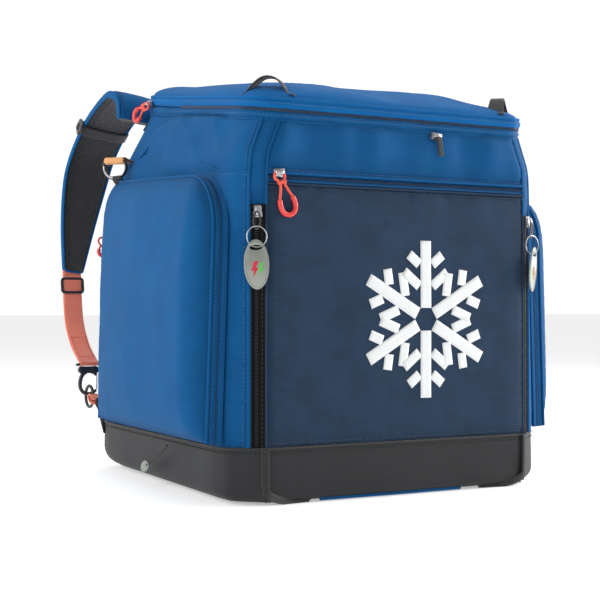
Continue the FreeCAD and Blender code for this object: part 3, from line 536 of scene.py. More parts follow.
# %% Sweeps and sections
def sweep(path, section, up=(0, 0, 1), closed=False, widths=None):
    """A section carried along a path."""
    path = [Vector(p) for p in path]
    count = len(path)
    ups = [Vector(u) for u in up] if hasattr(up[0], "__len__") else [Vector(up)] * count
    rows = []
    for i, at in enumerate(path):
        ahead = path[(i + 1) % count] if closed or i < count - 1 else at
        behind = path[i - 1] if closed or i > 0 else at
        way = (ahead - behind).normalized()
        side = way.cross(ups[i]).normalized()
        over = side.cross(way)
        wide = widths[i] if widths else 1.0
        rows.append([at + side * (a * wide) + over * b for a, b in section])
    if closed:
        rows.append([p.copy() for p in rows[0]])
    made = grid(rows, wrap=True)
    return made if closed else made.close_ends(len(section))


def turn_of(i, count):
    """One angle of a full turn that is cut into equal parts."""
    return 2 * math.pi * i / count


def round_section(radius, count=8):
    return [(radius * math.cos(turn_of(i, count)), radius * math.sin(turn_of(i, count)))
            for i in range(count)]


def flat_section(wide, thick, across=6):
    """A strap's section: flat, with rounded edges."""
    half, low = wide / 2 - thick / 2, thick / 2
    top = [(-half + 2 * half * i / across, low) for i in range(across + 1)]
    right = [(half + low * math.sin(a), low * math.cos(a)) for a in (math.pi / 3, 2 * math.pi / 3)]
    under = [(x, -low) for x, _ in reversed(top)]
    left = [(-half - low * math.sin(a), -low * math.cos(a)) for a in (math.pi / 3, 2 * math.pi / 3)]
    return top + right + under + left


def edgewise(wide, thick, across=6):
    """The same strap section, standing on its edge."""
    return [(b, a) for a, b in flat_section(wide, thick, across)]


def blunt(value, power):
    """A sine or cosine made blunter, so that a circle becomes a rounded oblong."""
    return math.copysign(abs(value) ** power, value)


def smooth(points, per_run=8, closed=False):
    """A smooth line through some points."""
    points = [Vector(p) for p in points]
    count = len(points)
    made = []
    for i in range(count if closed else count - 1):
        b, c = points[i], points[(i + 1) % count]
        a = points[i - 1] if closed or i > 0 else b + (b - c)
        d = points[(i + 2) % count] if closed or i + 2 < count else c + (c - b)
        for k in range(per_run):
            u = k / per_run
            made.append(0.5 * ((2 * b) + (c - a) * u + (2 * a - 5 * b + 4 * c - d) * u * u
                               + (3 * b - a - 3 * c + d) * u ** 3))
    return made if closed else made + [points[-1]]


def turns(points, count, closed=False):
    """The same line with a number of evenly spaced points."""
    line = [Vector(p) for p in points] + ([Vector(points[0])] if closed else [])
    run = lengths(line)
    made, j = [], 0
    for i in range(count):
        want = run[-1] * i / (count if closed else count - 1)
        while j < len(run) - 2 and run[j + 1] < want:
            j += 1
        step = run[j + 1] - run[j]
        made.append(line[j].lerp(line[j + 1], 0 if step == 0 else (want - run[j]) / step))
    return made


def ring(radius, wire, count=28, around=8):
    """A round ring in its own XZ plane."""
    path = [(radius * math.sin(turn_of(i, count)), 0, radius * math.cos(turn_of(i, count)))
            for i in range(count)]
    return sweep(path, round_section(wire / 2, around), (0, 1, 0), closed=True)


print("a test sweep has", len(ring(0.01, 0.002).faces), "faces")

# %% [markdown]
# Hard parts start as outlines or blocks with softened edges. An outline is filled and given a
# thickness, and a bevel takes the sharpness off, because no moulded part has a knife edge.

# %% Plates and blocks
def from_bmesh(made):
    bmesh.ops.recalc_face_normals(made, faces=made.faces)
    made.verts.ensure_lookup_table()
    shape = Shape([v.co.copy() for v in made.verts], [[v.index for v in f.verts] for f in made.faces])
    made.free()
    return shape


def soften(made, amount, segments=2):
    """Bevels the sharp edges of a mesh in the making."""
    sharp = [e for e in made.edges if len(e.link_faces) == 2 and e.calc_face_angle(0) > 0.6]
    bmesh.ops.bevel(made, geom=sharp, offset=amount, segments=segments, profile=0.6, affect="EDGES",
                    clamp_overlap=True)


def block(size, bevel=0.0006, segments=2):
    """A block about the origin with softened edges."""
    made = bmesh.new()
    bmesh.ops.create_cube(made, size=1.0)
    bmesh.ops.scale(made, vec=Vector(size), verts=made.verts)
    soften(made, bevel, segments)
    return from_bmesh(made)


def plate(outline, thick, bevel=0.0004, hole=None):
    """A plate in the XZ plane from an outline, with one optional hole that has as many points."""
    made = bmesh.new()
    lines = [outline, hole] if hole else [outline]
    near, far = ([[made.verts.new((x, y, z)) for x, z in line] for line in lines]
                 for y in (-thick / 2, thick / 2))

    def between(one, other):
        for i in range(len(outline)):
            k = (i + 1) % len(outline)
            made.faces.new((one[i], one[k], other[k], other[i]))

    for layer in (near, far):
        if hole:
            between(*layer)
        else:
            made.faces.new(layer[0])
    for one, other in zip(near, far):
        between(one, other)
    bmesh.ops.recalc_face_normals(made, faces=made.faces)
    soften(made, bevel)
    return from_bmesh(made)


def oval(wide, high, at=(0, 0), count=32):
    return [(at[0] + wide / 2 * math.sin(turn_of(i, count)),
             at[1] + high / 2 * math.cos(turn_of(i, count))) for i in range(count)]


def rounded_box(wide, high, radius, per_corner=6):
    """A rounded rectangle about the origin."""
    made = []
    for turn in range(4):
        cx = (wide / 2 - radius) * (1 if turn in (0, 1) else -1)
        cz = (high / 2 - radius) * (1 if turn in (0, 3) else -1)
        for i in range(per_corner + 1):
            a = math.pi / 2 * (turn + i / per_corner)
            made.append((cx + radius * math.sin(a), cz + radius * math.cos(a)))
    return made


print("a block has", len(block((1, 1, 1), 0.1).faces), "faces")

# %% [markdown]
# ## From shapes to pieces
#
# A piece is an object that rides on a body of the frame, may stand for one of its nodes, and is
# given its finish. A slot name is passed along with it but not used. Left and right pieces are
# twins, so one call makes both. Cloth gets its thickness here, from a Solidify modifier that is
# applied at once, so that what rides on the frame is a plain closed mesh.

# %% Pieces
def plain(made):
    """The object with its modifiers applied."""
    deps = bpy.context.evaluated_depsgraph_get()
    mesh = bpy.data.meshes.new_from_object(made.evaluated_get(deps))
    made.modifiers.clear()
    old, made.data = made.data, mesh
    bpy.data.meshes.remove(old)
    return made


def face_outwards(mesh):
    """Turns the faces of a closed mesh outwards."""
    made = bmesh.new()
    made.from_mesh(mesh)
    if all(edge.is_manifold for edge in made.edges):
        bmesh.ops.recalc_face_normals(made, faces=made.faces)
        made.to_mesh(mesh)
    made.free()


SHARP_ANGLE = math.radians(50)


def to_object(name, shape, finish, thick=0.0):
    """An object in the bag's own frame, with its place in its mesh."""
    mesh = bpy.data.meshes.new(name)
    mesh.from_pydata([tuple(p) for p in shape.points], [], shape.faces)
    cloth = mesh.uv_layers.new(name="cloth")
    flat = [c for corners in shape.maps for uv in corners for c in uv]
    cloth.data.foreach_set("uv", flat)
    hem = mesh.attributes.new("hem", "FLOAT", "POINT")
    hem.data.foreach_set("value", [float(h) for h in shape.hem])
    made = bpy.data.objects.new(name, mesh)
    bpy.context.scene.collection.objects.link(made)
    mesh.materials.append(finish)
    if thick:
        wall = made.modifiers.new("thickness", "SOLIDIFY")
        wall.thickness, wall.offset, wall.use_even_offset = thick, -1, False
        plain(made)
    face_outwards(made.data)
    made.data.shade_smooth()
    made.data.set_sharp_from_angle(angle=SHARP_ANGLE)
    return made


def piece(name, shape, finish, body, slot=None, stands_for=(), **how):
    """One piece that rides on a body."""
    made = to_object(name, shape, finish, **how)
    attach(made, body)
    if stands_for:
        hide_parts(*stands_for)
    return made


SIDES = ("_left", "_right")


def sided(name, side):
    """The name of a body or node on that side, where it has one."""
    known = set(frame["bodies"]) | set(frame["nodes"])
    return name + side if name + side in known else name


def twins(name, shape, finish, body, slot=None, stands_for=(), **how):
    """A left-hand piece and its mirrored twin."""
    made = []
    for side in SIDES:
        own = shape if side == SIDES[0] else shape.mirrored()
        nodes = [sided(n, side) for n in stands_for]
        made.append(piece(name + side, own, finish, sided(body, side), slot, nodes, **how))
    return made


print("piece makers are ready")

# %% [markdown]
# ## The wall, as one rule
#
# The cloth walls of the bag are one ring: front, chamfered corner, flared shoulder, side, back.
# The frame's wall nodes have their corners at three levels: at the foot, at the knee and at the
# lid seam. We read those corners and make one function, wall(s, t), that gives any point of the
# ring. Station s is 0 at the middle of the front, 1 to 5 at the corners, 6 at the middle of the
# back and so on round the right side to 12. Level t runs from 0 at the foot through 1 at the knee
# to 2 at the seam.

# %% Read the ring's corners
TOUCH = 0.006


def outer_corners(node, pick):
    """The outer corners of a wall node at one level, from the front to the back."""
    near = [v.co.copy() for v in frame["nodes"][node].data.vertices if pick(v.co) and v.co.x < -0.05]
    found = []
    for p in near:
        rivals = [q for q in near if (q - p).xy.length < TOUCH]
        best = max(rivals, key=lambda q: round(abs(q.x) + abs(q.y), 5))
        if all((best - f).xy.length > TOUCH for f in found):
            found.append(best)
    return sorted(found, key=lambda p: p.y)


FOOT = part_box("side_panel_left")[0].z
KNEE = 0.350
FRONT_EDGE = -0.2115
NEAR_FOOT, NEAR_KNEE, NEAR_SEAM = 0.001, 0.0003, 0.0012


def highest(node, pick=lambda p: True):
    """The highest point of a node among those that are picked."""
    return max((v.co for v in frame["nodes"][node].data.vertices if pick(v.co)), key=lambda p: p.z)


LOW_END = highest("corner_panel_left", lambda p: p.y < FRONT_EDGE)
HIGH_END = highest("back_wall")
RISE = (HIGH_END.z - LOW_END.z) / (HIGH_END.y - LOW_END.y)
PICKS = (lambda p: abs(p.z - FOOT) < NEAR_FOOT, lambda p: abs(p.z - KNEE) < NEAR_KNEE,
         lambda p: abs(p.z - LOW_END.z - RISE * (p.y - LOW_END.y)) < NEAR_SEAM)
LEVELS = []
for pick in PICKS:
    corners = outer_corners("corner_panel_left", pick)[:1] + outer_corners("side_panel_left", pick)
    corners += outer_corners("back_wall", pick)[-1:]
    front = Vector((0, corners[0].y, corners[0].z))
    back = Vector((0, corners[-1].y, corners[-1].z))
    LEVELS.append([front] + corners + [back])
print("corners per level:", [len(level) for level in LEVELS], "seam rises", round(RISE, 3))

# %% [markdown]
# Sewn cloth never turns a corner sharply, so each corner is replaced by a small curve that starts
# and ends a set distance from it. The same trick rounds the knee, where the walls start to lean in.

# %% The wall function
ROUNDING = {1: 0.003, 2: 0.005, 3: 0.014, 4: 0.020, 5: 0.016}
KNEE_ROUNDING = 0.16
STATIONS = 12


def bezier(a, b, c, u):
    """A point of the small curve that starts at a, heads for b and ends at c."""
    return a * (1 - u) ** 2 + b * (2 * u * (1 - u)) + c * u ** 2


def on_level(level, s):
    """A point of one level's left half, for s from 0 to 6."""
    corner = int(round(s))
    if corner in ROUNDING:
        before, at, after = level[corner - 1], level[corner], level[corner + 1]
        back = min(ROUNDING[corner] / (at - before).length, 0.5)
        ahead = min(ROUNDING[corner] / (after - at).length, 0.5)
        if -back < s - corner < ahead:
            u = 0.5 + 0.5 * ((s - corner) / (back if s < corner else ahead))
            return bezier(at.lerp(before, back), at, at.lerp(after, ahead), u)
    run = min(int(s), 5)
    return level[run].lerp(level[run + 1], s - run)


def wall_point(s, t):
    """A point of the ring at a station and a level."""
    s = s % STATIONS
    side = 1 if s <= 6 else -1
    foot, knee, seam = (on_level(level, s if side > 0 else STATIONS - s) for level in LEVELS)
    if abs(t - 1) < KNEE_ROUNDING:
        low, high = foot.lerp(knee, 1 - KNEE_ROUNDING), knee.lerp(seam, KNEE_ROUNDING)
        point = bezier(low, knee, high, (t - 1 + KNEE_ROUNDING) / (2 * KNEE_ROUNDING))
    else:
        point = foot.lerp(knee, t) if t < 1 else knee.lerp(seam, t - 1)
    return Vector((point.x * side, point.y, point.z))


INSIDE = Vector((0, 0, 0.2))


def wall_out(s, t):
    """The way out of the wall."""
    ds, dt = 0.004, 0.01
    along = wall_point(s + ds, t) - wall_point(s - ds, t)
    up = wall_point(s, t + dt) - wall_point(s, t - dt)
    out = up.cross(along).normalized()
    return out if out.dot(wall_point(s, t) - INSIDE) > 0 else -out


def wall(s, t, out=0.0):
    """A point over the wall."""
    point = wall_point(s, t)
    return point + wall_out(s, t) * out if out else point


def level_at(s, height):
    """The level at which the wall reaches a height."""
    if height <= KNEE:
        return (height - FOOT) / (KNEE - FOOT)
    return 1 + (height - KNEE) / (wall_point(s, 2).z - KNEE)


print("shoulder at the foot:", [round(c, 3) for c in wall(3, 0)])

# %% [markdown]
# A panel is a patch of the wall between two stations and two heights. Its relief says how far the
# cloth stands out: it is pinned at the seams, so it swells between them, and it puckers along them
# because the thread draws it in. Longer creases come from a slow noise.

# %% Panels
def swell(distance, reach):
    """From 0 at a seam to 1 a reach away from it, round like a cushion's edge."""
    share = min(max(distance / reach, 0), 1)
    return math.sqrt(1 - (1 - share) ** 2)


def crease(point, size, seed):
    """A slow fold pattern between -1 and 1, the same on every run."""
    moved = Vector((point.x / size, point.y / size, point.z / size)) + Vector((seed, seed * 0.7, -seed))
    return noise.noise(moved) * 1.6


def folds(point, size, seed):
    """Sharp-backed folds between 0 and 1."""
    return (1 - min(1, abs(crease(point, size, seed)) * 2.4)) ** 2


HEM_REACH = 0.0045
PUCKER_REACH = 0.007
SEAM_GAP = 0.0008


def seam_height(s):
    """Where a panel ends, just under the lid seam."""
    return wall(s, 2).z - SEAM_GAP


def as_rule(height):
    """A height as a function of the station."""
    return height if callable(height) else lambda s: height


def panel(start, end, low, high, columns, rows, relief, pucker=0.0006):
    """A patch of the wall. Heights are numbers or functions of the station."""
    made, hems = [], []
    stations = spread(start, end, columns)
    spans = [(level_at(s, as_rule(low)(s)), level_at(s, as_rule(high)(s))) for s in stations]
    base = lengths([wall(s, 0.5) for s in stations])
    tall = (wall(stations[0], spans[0][1]) - wall(stations[0], spans[0][0])).length
    for i in range(rows + 1):
        v = i / rows
        row = []
        for j, s in enumerate(stations):
            t = spans[j][0] + (spans[j][1] - spans[j][0]) * v
            edge = min(base[j], base[-1] - base[j], v * tall, (1 - v) * tall)
            point = wall(s, t)
            drawn = pucker * math.exp(-edge / PUCKER_REACH) * math.sin((base[j] + v * tall) * 620)
            out = relief(base[j] / base[-1], v, edge, point) + drawn
            row.append(point + wall_out(s, t) * out)
            hems.append(math.exp(-edge / HEM_REACH) * 0.8)
        made.append(row)
    return grid(made, hem=hems).facing(INSIDE)


def wall_line(places, out):
    """The wall's points at some stations and heights, and the way out at each of them."""
    levels = [(s, level_at(s, height)) for s, height in places]
    return [wall(s, t, out) for s, t in levels], [wall_out(s, t) for s, t in levels]


def seam_of(start, end, height, count, out=0.0):
    """A line along the wall between two stations."""
    return wall_line([(s, as_rule(height)(s)) for s in spread(start, end, count)], out)


def upright(station, low, high, count, out=0.0):
    """A line up the wall at one station."""
    return wall_line([(station, height) for height in spread(low, high, count)], out)


print("panel helpers are ready")

# %% [markdown]
# ## Stitches and zip teeth, by Geometry Nodes
#
# A bag has thousands of stitches and hundreds of zip teeth, all alike, each following a line. That
# is what Geometry Nodes are for: a line goes in, is cut into even steps, and one small shape is
# stood on every step, turned along the line and away from the cloth. We collect the lines first
# and make each body's stitches as one mesh at the very end.

# %% The tree that sets things along a line
def along_a_line():
    """A node tree: even copies of one small bead or tooth along every line of a mesh."""
    tree = bpy.data.node_groups.new("along_a_line", "GeometryNodeTree")
    face = tree.interface
    face.new_socket("Lines", in_out="INPUT", socket_type="NodeSocketGeometry")
    for name in ("Pitch", "Length", "Width", "Height"):
        face.new_socket(name, in_out="INPUT", socket_type="NodeSocketFloat")
    face.new_socket("Finish", in_out="INPUT", socket_type="NodeSocketMaterial")
    face.new_socket("Lines", in_out="OUTPUT", socket_type="NodeSocketGeometry")

    def add(kind, settings=None, links=None):
        made = tree.nodes.new(kind)
        for key, value in (settings or {}).items():
            setattr(made, key, value)
        for key, value in (links or {}).items():
            if isinstance(value, bpy.types.NodeSocket):
                tree.links.new(value, made.inputs[key])
            else:
                made.inputs[key].default_value = value
        return made

    given = add("NodeGroupInput").outputs
    curve = add("GeometryNodeMeshToCurve", None, {"Mesh": given["Lines"]})
    even = add("GeometryNodeResampleCurve", {"mode": "LENGTH"},
               {"Curve": curve.outputs[0], "Length": given["Pitch"]})
    bead = add("GeometryNodeMeshUVSphere", None, {"Segments": 6, "Rings": 4, "Radius": 0.5})
    size = add("ShaderNodeCombineXYZ", None, {0: given["Length"], 1: given["Width"], 2: given["Height"]})
    shaped = add("GeometryNodeTransform", None, {"Geometry": bead.outputs[0], "Scale": size.outputs[0]})
    way = add("GeometryNodeInputTangent")
    out = add("GeometryNodeInputNamedAttribute", {"data_type": "FLOAT_VECTOR"}, {"Name": "out"})
    first = add("FunctionNodeAlignRotationToVector", {"axis": "X"}, {"Vector": way.outputs[0]})
    second = add("FunctionNodeAlignRotationToVector", {"axis": "Z", "pivot_axis": "X"},
                 {"Rotation": first.outputs[0], "Vector": out.outputs[0]})
    copies = add("GeometryNodeInstanceOnPoints", None,
                 {"Points": even.outputs[0], "Instance": shaped.outputs[0], "Rotation": second.outputs[0]})
    real = add("GeometryNodeRealizeInstances", None, {"Geometry": copies.outputs[0]})
    painted = add("GeometryNodeSetMaterial", None,
                  {"Geometry": real.outputs[0], "Material": given["Finish"]})
    add("NodeGroupOutput", None, {0: painted.outputs[0]})
    return tree


LINE_TREE = along_a_line()
print("nodes in the tree:", len(LINE_TREE.nodes))

# %% [markdown]
# Stitches are kept in a book: for each kind of thread and each body, the lines that it follows.

# %% The stitch book
KINDS = {
    "stitch_blue": (BLUE_THREAD, 0.0042, 0.0031, 0.0009, 0.0009),
    "stitch_navy": (NAVY_THREAD, 0.0040, 0.0030, 0.0009, 0.0009),
    "stitch_black": (BLACK_THREAD, 0.0046, 0.0034, 0.0012, 0.0012),
    "stitch_orange": (ORANGE_THREAD, 0.0034, 0.0026, 0.0009, 0.0008),
    "teeth_blue": (COIL, 0.0021, 0.0012, 0.0046, 0.0022),
    "teeth_black": (DARK_COIL, 0.0021, 0.0012, 0.0046, 0.0022),
}
book = {}


def note_line(kind, body, line, outs, both=False):
    """Adds a line to the book, and its mirror image for the right-hand side."""
    outs = [Vector(o) for o in (outs if hasattr(outs[0], "__len__") else [outs] * len(line))]
    line = [Vector(p) for p in line]
    book.setdefault((kind, sided(body, SIDES[0]) if both else body), []).append((line, outs))
    if both:
        flip = Vector((-1, 1, 1))
        book.setdefault((kind, sided(body, SIDES[1])), []).append(
            ([p * flip for p in line], [o * flip for o in outs]))


def set_input(modifier, name, value):
    """A modifier's input is found by its socket's identifier."""
    for item in modifier.node_group.interface.items_tree:
        if item.name == name and item.in_out == "INPUT":
            modifier[item.identifier] = value


def sew(kind, body, lines):
    """All the stitches or teeth of one kind on one body, as one mesh."""
    finish, pitch, long, wide, high = KINDS[kind]
    mesh = bpy.data.meshes.new(kind)
    points, edges, outs = [], [], []
    for line, away in lines:
        start = len(points)
        points += [tuple(p) for p in line]
        outs += [c for o in away for c in o]
        edges += [(start + i, start + i + 1) for i in range(len(line) - 1)]
    mesh.from_pydata(points, edges, [])
    mesh.attributes.new("out", "FLOAT_VECTOR", "POINT").data.foreach_set("vector", outs)
    name = kind + "_" + body
    made = bpy.data.objects.new(name, mesh)
    bpy.context.scene.collection.objects.link(made)
    rule = made.modifiers.new("rule", "NODES")
    rule.node_group = LINE_TREE
    sizes = {"Pitch": pitch, "Length": long, "Width": wide, "Height": high, "Finish": finish}
    for label, value in sizes.items():
        set_input(rule, label, value)
    plain(made)
    if "out" in made.data.attributes:
        made.data.attributes.remove(made.data.attributes["out"])
    made.data.shade_smooth()
    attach(made, body)
    return made


print("kinds of stitch and tooth:", len(KINDS))

# %% [markdown]
# ## The front
#
# The front pocket is a flat navy panel that is sewn in on three sides. Its zip runs in a blue band
# above it, under the folded hem of the blue strip that reaches up to the lid. Behind them, a plain
# lining wall closes the main compartment.

# %% Front panels
ZIP_LOW, ZIP_HIGH = (end.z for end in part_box("front_zip_tape"))
FRONT_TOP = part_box("front_top_strip")[1].z
FRONT_THICK, CLOTH_THICK = 0.0018, 0.002


def navy_relief(u, v, edge, point):
    gather = max(0.0, v - 0.86) / 0.14
    out = 0.0025 * swell(edge, 0.03) + 0.0005 * crease(point, 0.07, 3)
    return out + 0.0012 * gather * crease(point, 0.016, 9)


def strip_relief(u, v, edge, point):
    loose = 0.003 * swell(edge, 0.02)
    return loose + 0.0036 * swell(edge, 0.025) * crease(Vector((point.x, 0, point.z * 0.35)), 0.032, 5)


navy = panel(1, -1, FOOT + 0.0003, ZIP_LOW, 64, 46, navy_relief)
navy_cloth = piece("front_pocket_cloth", navy, NAVY, "bag", "bag_navy", ["front_pocket_panel"],
                   thick=FRONT_THICK)
piece("front_top_cloth", panel(1, -1, ZIP_HIGH - 0.001, FRONT_TOP, 60, 14, strip_relief), BLUE,
      "bag", "bag_blue", ["front_top_strip"], thick=FRONT_THICK)


def tape_relief(u, v, edge, point):
    ridge = 0.0018 * max(0.0, math.cos((v - 0.36) * 9)) + 0.0012 * max(0.0, math.cos((v - 0.74) * 12))
    return -0.0014 + ridge


piece("front_zip_cloth", panel(1, -1, ZIP_LOW - 0.001, ZIP_HIGH, 50, 12, tape_relief, 0.0), ZIP_BLUE,
      "bag", "zip_blue", ["front_zip_tape"], thick=0.0012)
for name, height, radius, finish, slot in (("front_hem_upper", ZIP_HIGH, 0.0017, BLUE, "bag_blue"),
                                           ("front_hem_lower", ZIP_LOW, 0.0012, NAVY, "bag_navy")):
    line, outs = seam_of(1, -1, height, 50, 0.0012)
    piece(name, sweep(line, round_section(radius), outs), finish, "bag", slot)
print("navy panel:", len(navy_cloth.data.polygons), "faces")

# %% [markdown]
# The teeth sit in the groove of the tape, a little below its middle, and two rows of stitches hold
# the hems down.

# %% Front zip teeth and stitches
TEETH_AT = ZIP_LOW + (ZIP_HIGH - ZIP_LOW) * 0.56
note_line("teeth_blue", "bag", *seam_of(0.99, -0.99, TEETH_AT, 40, -0.0002))
for height, kind, out in ((ZIP_HIGH + 0.004, "stitch_blue", 0.0022), (ZIP_LOW - 0.004, "stitch_navy", 0.0012),
                          (ZIP_LOW + 0.0035, "stitch_blue", 0.0004), (FOOT + 0.004, "stitch_navy", 0.001)):
    note_line(kind, "bag", *seam_of(0.985, -0.985, height, 60, out))


def lining_relief(u, v, edge, point):
    return -0.0096 + 0.0015 * swell(edge, 0.03) + 0.001 * crease(point, 0.08, 14)


piece("front_lining", panel(0.96, -0.96, FOOT, FRONT_TOP, 40, 40, lining_relief), LINING, "bag", "bag_navy",
      ["front_wall"], thick=CLOTH_THICK)
print("lines in the book:", sum(len(lines) for lines in book.values()))

# %% [markdown]
# ## A snowflake, printed
#
# The panel carries one large pale print. Ours is a plain six-armed snowflake, a sign that any
# winter bag may carry. It is drawn as strokes, filled, and laid on the cloth with a Shrinkwrap
# modifier, so that it follows every crease of the panel and stands half a millimetre proud.

# %% Snowflake
FLAKE_CENTRE = Vector((0.029, 0, 0.187))
FLAKE_REACH = 0.084
STROKE = 0.0135


def stroke(start, end, wide, steps):
    """A straight stroke with blunt ends, as a grid in the XZ plane."""
    start, end = Vector(start), Vector(end)
    way = (end - start).normalized()
    side = Vector((way.z, 0, -way.x))
    return grid([[start.lerp(end, i / steps) + side * (wide * (j / 4 - 0.5)) for j in range(5)]
                 for i in range(steps + 1)])


def snowflake():
    """Six arms, each a long stroke with two pairs of barbs."""
    made = Shape()
    for arm in range(6):
        turn = Matrix.Rotation(math.radians(60 * arm), 3, "Y")
        made.join(stroke(turn @ Vector((0, 0, STROKE * 0.9)), turn @ Vector((0, 0, FLAKE_REACH)), STROKE, 16))
        for root, reach in ((0.42, 0.30), (0.70, 0.20)):
            for side in (-1, 1):
                foot = Vector((side * STROKE * 0.62, 0, FLAKE_REACH * root))
                tip = foot + Vector((side * 0.78, 0, 0.62)) * (FLAKE_REACH * reach)
                made.join(stroke(turn @ foot, turn @ tip, STROKE * 0.8, 6))
    return made


def laid_on(name, shape, finish, ground, body, lift=0.0005):
    """A thin print that follows the cloth under it."""
    made = to_object(name, shape, finish)
    wrap = made.modifiers.new("wrap", "SHRINKWRAP")
    wrap.target, wrap.offset, wrap.wrap_method = ground, lift, "NEAREST_SURFACEPOINT"
    wrap.wrap_mode = "ABOVE_SURFACE"
    ink = made.modifiers.new("ink", "SOLIDIFY")
    ink.thickness, ink.offset = 0.0003, -1
    plain(made)
    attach(made, body)
    return made


FLAKE_CENTRE.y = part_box("front_pocket_panel")[0].y - 0.004
flake = snowflake().moved(Matrix.Translation(FLAKE_CENTRE))
laid_on("printed_snowflake", flake.facing(Vector((0, 0.5, 0.2))), WHITE_INK, navy_cloth, "bag")
print("snowflake spans", round(2 * FLAKE_REACH * 1000), "mm")

# %% [markdown]
# ## Corners, sides and back
#
# Between the front and each side runs a narrow black strip with an upright zip, and a block of
# blue above it. The shoulder and the side are one blue panel: its upper part hangs in soft folds,
# because nothing fills the bag there, and a seam that rises towards the back crosses it.

# %% Corner strips
STRIP_TOP = 0.302


def strip_flat(u, v, edge, point):
    return -0.0008 + 0.001 * abs(2 * u - 1)


def block_relief(u, v, edge, point):
    return 0.0018 * swell(edge, 0.008) + 0.0004 * crease(point, 0.03, 2)


twins("corner_strip", panel(1, 2, FOOT, STRIP_TOP, 8, 50, strip_flat, 0.0), BLACK, "bag", "panel_black",
      ["corner_panel"], thick=FRONT_THICK)
twins("corner_block", panel(1, 2, STRIP_TOP, seam_height, 8, 20, block_relief), BLUE, "bag", "bag_blue",
      thick=CLOTH_THICK)
zip_line, zip_outs = upright(1.55, FOOT + 0.002, STRIP_TOP - 0.001, 40, -0.0002)
note_line("teeth_black", "bag", zip_line, zip_outs, both=True)
for station in (1.22, 1.86):
    line, outs = upright(station, FOOT + 0.002, STRIP_TOP - 0.002, 40, 0.0004)
    note_line("stitch_black", "bag", line, outs, both=True)
hem_line, hem_outs = seam_of(1.02, 1.98, STRIP_TOP, 8, 0.001)
twins("corner_hem", sweep(hem_line, round_section(0.0014), hem_outs), BLACK, "bag", "panel_black")
print("corner zip:", round((zip_line[-1] - zip_line[0]).length * 1000), "mm")


# %% Side panels
def side_seam(s):
    """Height of the seam across the upper side: low at the front, higher at the back."""
    at = wall(s, 1)
    return 0.343 + 0.041 * (at.y + 0.202) / 0.352


def side_relief(u, v, edge, point):
    upper = min(max((point.z - 0.335) / 0.05, 0), 1)
    lean = Vector((point.x, point.y - (point.z - 0.35) * 0.9, point.z * 0.8))
    soft = 0.0058 * crease(lean, 0.075, 4) + 0.0044 * folds(lean, 0.10, 7) + 0.0012 * crease(point, 0.03, 8)
    station = 2 + 2 * u
    groove = -0.0022 * math.exp(-abs(point.z - side_seam(station)) / 0.004)
    return swell(edge, 0.02) * (0.0012 + upper * (soft + 0.002)) + (groove if 2.1 < station < 3.98 else 0)


twins("side_cloth", panel(2, 4, FOOT, seam_height, 84, 76, side_relief), BLUE, "bag", "bag_blue",
      ["side_panel"], thick=CLOTH_THICK)
ridge, ridge_outs = seam_of(2.12, 3.96, lambda s: side_seam(s) + 0.0012, 60, 0.0002)
twins("side_seam", sweep(ridge, round_section(0.0011), ridge_outs), BLUE, "bag", "bag_blue")
note_line("stitch_blue", "bag", *seam_of(2.15, 3.95, lambda s: side_seam(s) - 0.004, 60, 0.0008), both=True)

# %% [markdown]
# A thin roll of cloth, the piping, covers the long upright seams.

# %% Piping
def upright_piping(name, station, low, high, count, out, radius, finish=BLUE, slot="bag_blue"):
    """A roll of cloth up the wall at one station, on both sides."""
    line, outs = upright(station, low, high, count, out)
    twins(name, sweep(line, round_section(radius), outs), finish, "bag", slot)


upright_piping("corner_piping", 2, FOOT, wall(2, 2).z - 0.001, 60, 0.0006, 0.0021)
note_line("stitch_blue", "bag", *upright(2.22, FOOT + 0.003, wall(2.2, 2).z - 0.004, 60, 0.0006), both=True)
upright_piping("front_piping", 1.0, STRIP_TOP, wall(1, 2).z - 0.001, 20, 0.0003, 0.0014)
upright_piping("navy_piping", 1.0, FOOT, STRIP_TOP, 40, 0.0002, 0.0013, NAVY, "bag_navy")


def back_relief(u, v, edge, point):
    return 0.0012 * swell(edge, 0.03) + 0.0016 * crease(point, 0.09, 21) * swell(edge, 0.04)


piece("back_cloth", panel(4, 8, FOOT, seam_height, 70, 50, back_relief), BLUE, "bag", "bag_blue",
      ["back_wall"], thick=CLOTH_THICK)
upright_piping("back_piping", 4, FOOT, wall(4, 2).z - 0.001, 60, 0.0006, 0.0019)

# %% [markdown]
# ## The coated base
#
# The base is a tray of tarpaulin. Its rim is the foot of the wall ring, and it rounds off into the
# floor: tightly at the front, where a thick binding is sewn round the corner, and softly at the
# back. To draw the rounding, the ring's corners are moved inwards along their bisectors, which
# keeps the short corner faces from folding over.

# %% Tray shape
FLOOR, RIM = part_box("base_tub")[0].z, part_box("base_tub")[1].z
ROUND_STOPS = ((0.0, 0.009), (1.0, 0.011), (2.0, 0.014), (3.0, 0.016), (4.0, 0.026), (6.0, 0.026))


def inset_level(level, amount):
    """One level's left half, moved inwards by an amount."""
    moved = []
    for i, at in enumerate(level):
        before = level[i - 1] if i else Vector((-level[1].x, level[1].y, at.z))
        after = level[i + 1] if i + 1 < len(level) else Vector((-level[-2].x, level[-2].y, at.z))
        sides = []
        for a, b in ((before, at), (at, after)):
            way = (b - a).normalized()
            sides.append(Vector((-way.y, way.x, 0)))
        both = (sides[0] + sides[1]) / (1 + sides[0].dot(sides[1]))
        moved.append(at - both * amount)
    return moved


def tray_round(s):
    """The radius between the tray's wall and its floor at a station."""
    s = s % STATIONS
    s = min(s, STATIONS - s)
    for (a, low), (b, high) in zip(ROUND_STOPS, ROUND_STOPS[1:]):
        if s <= b:
            return low + (high - low) * (s - a) / (b - a)
    return ROUND_STOPS[-1][1]


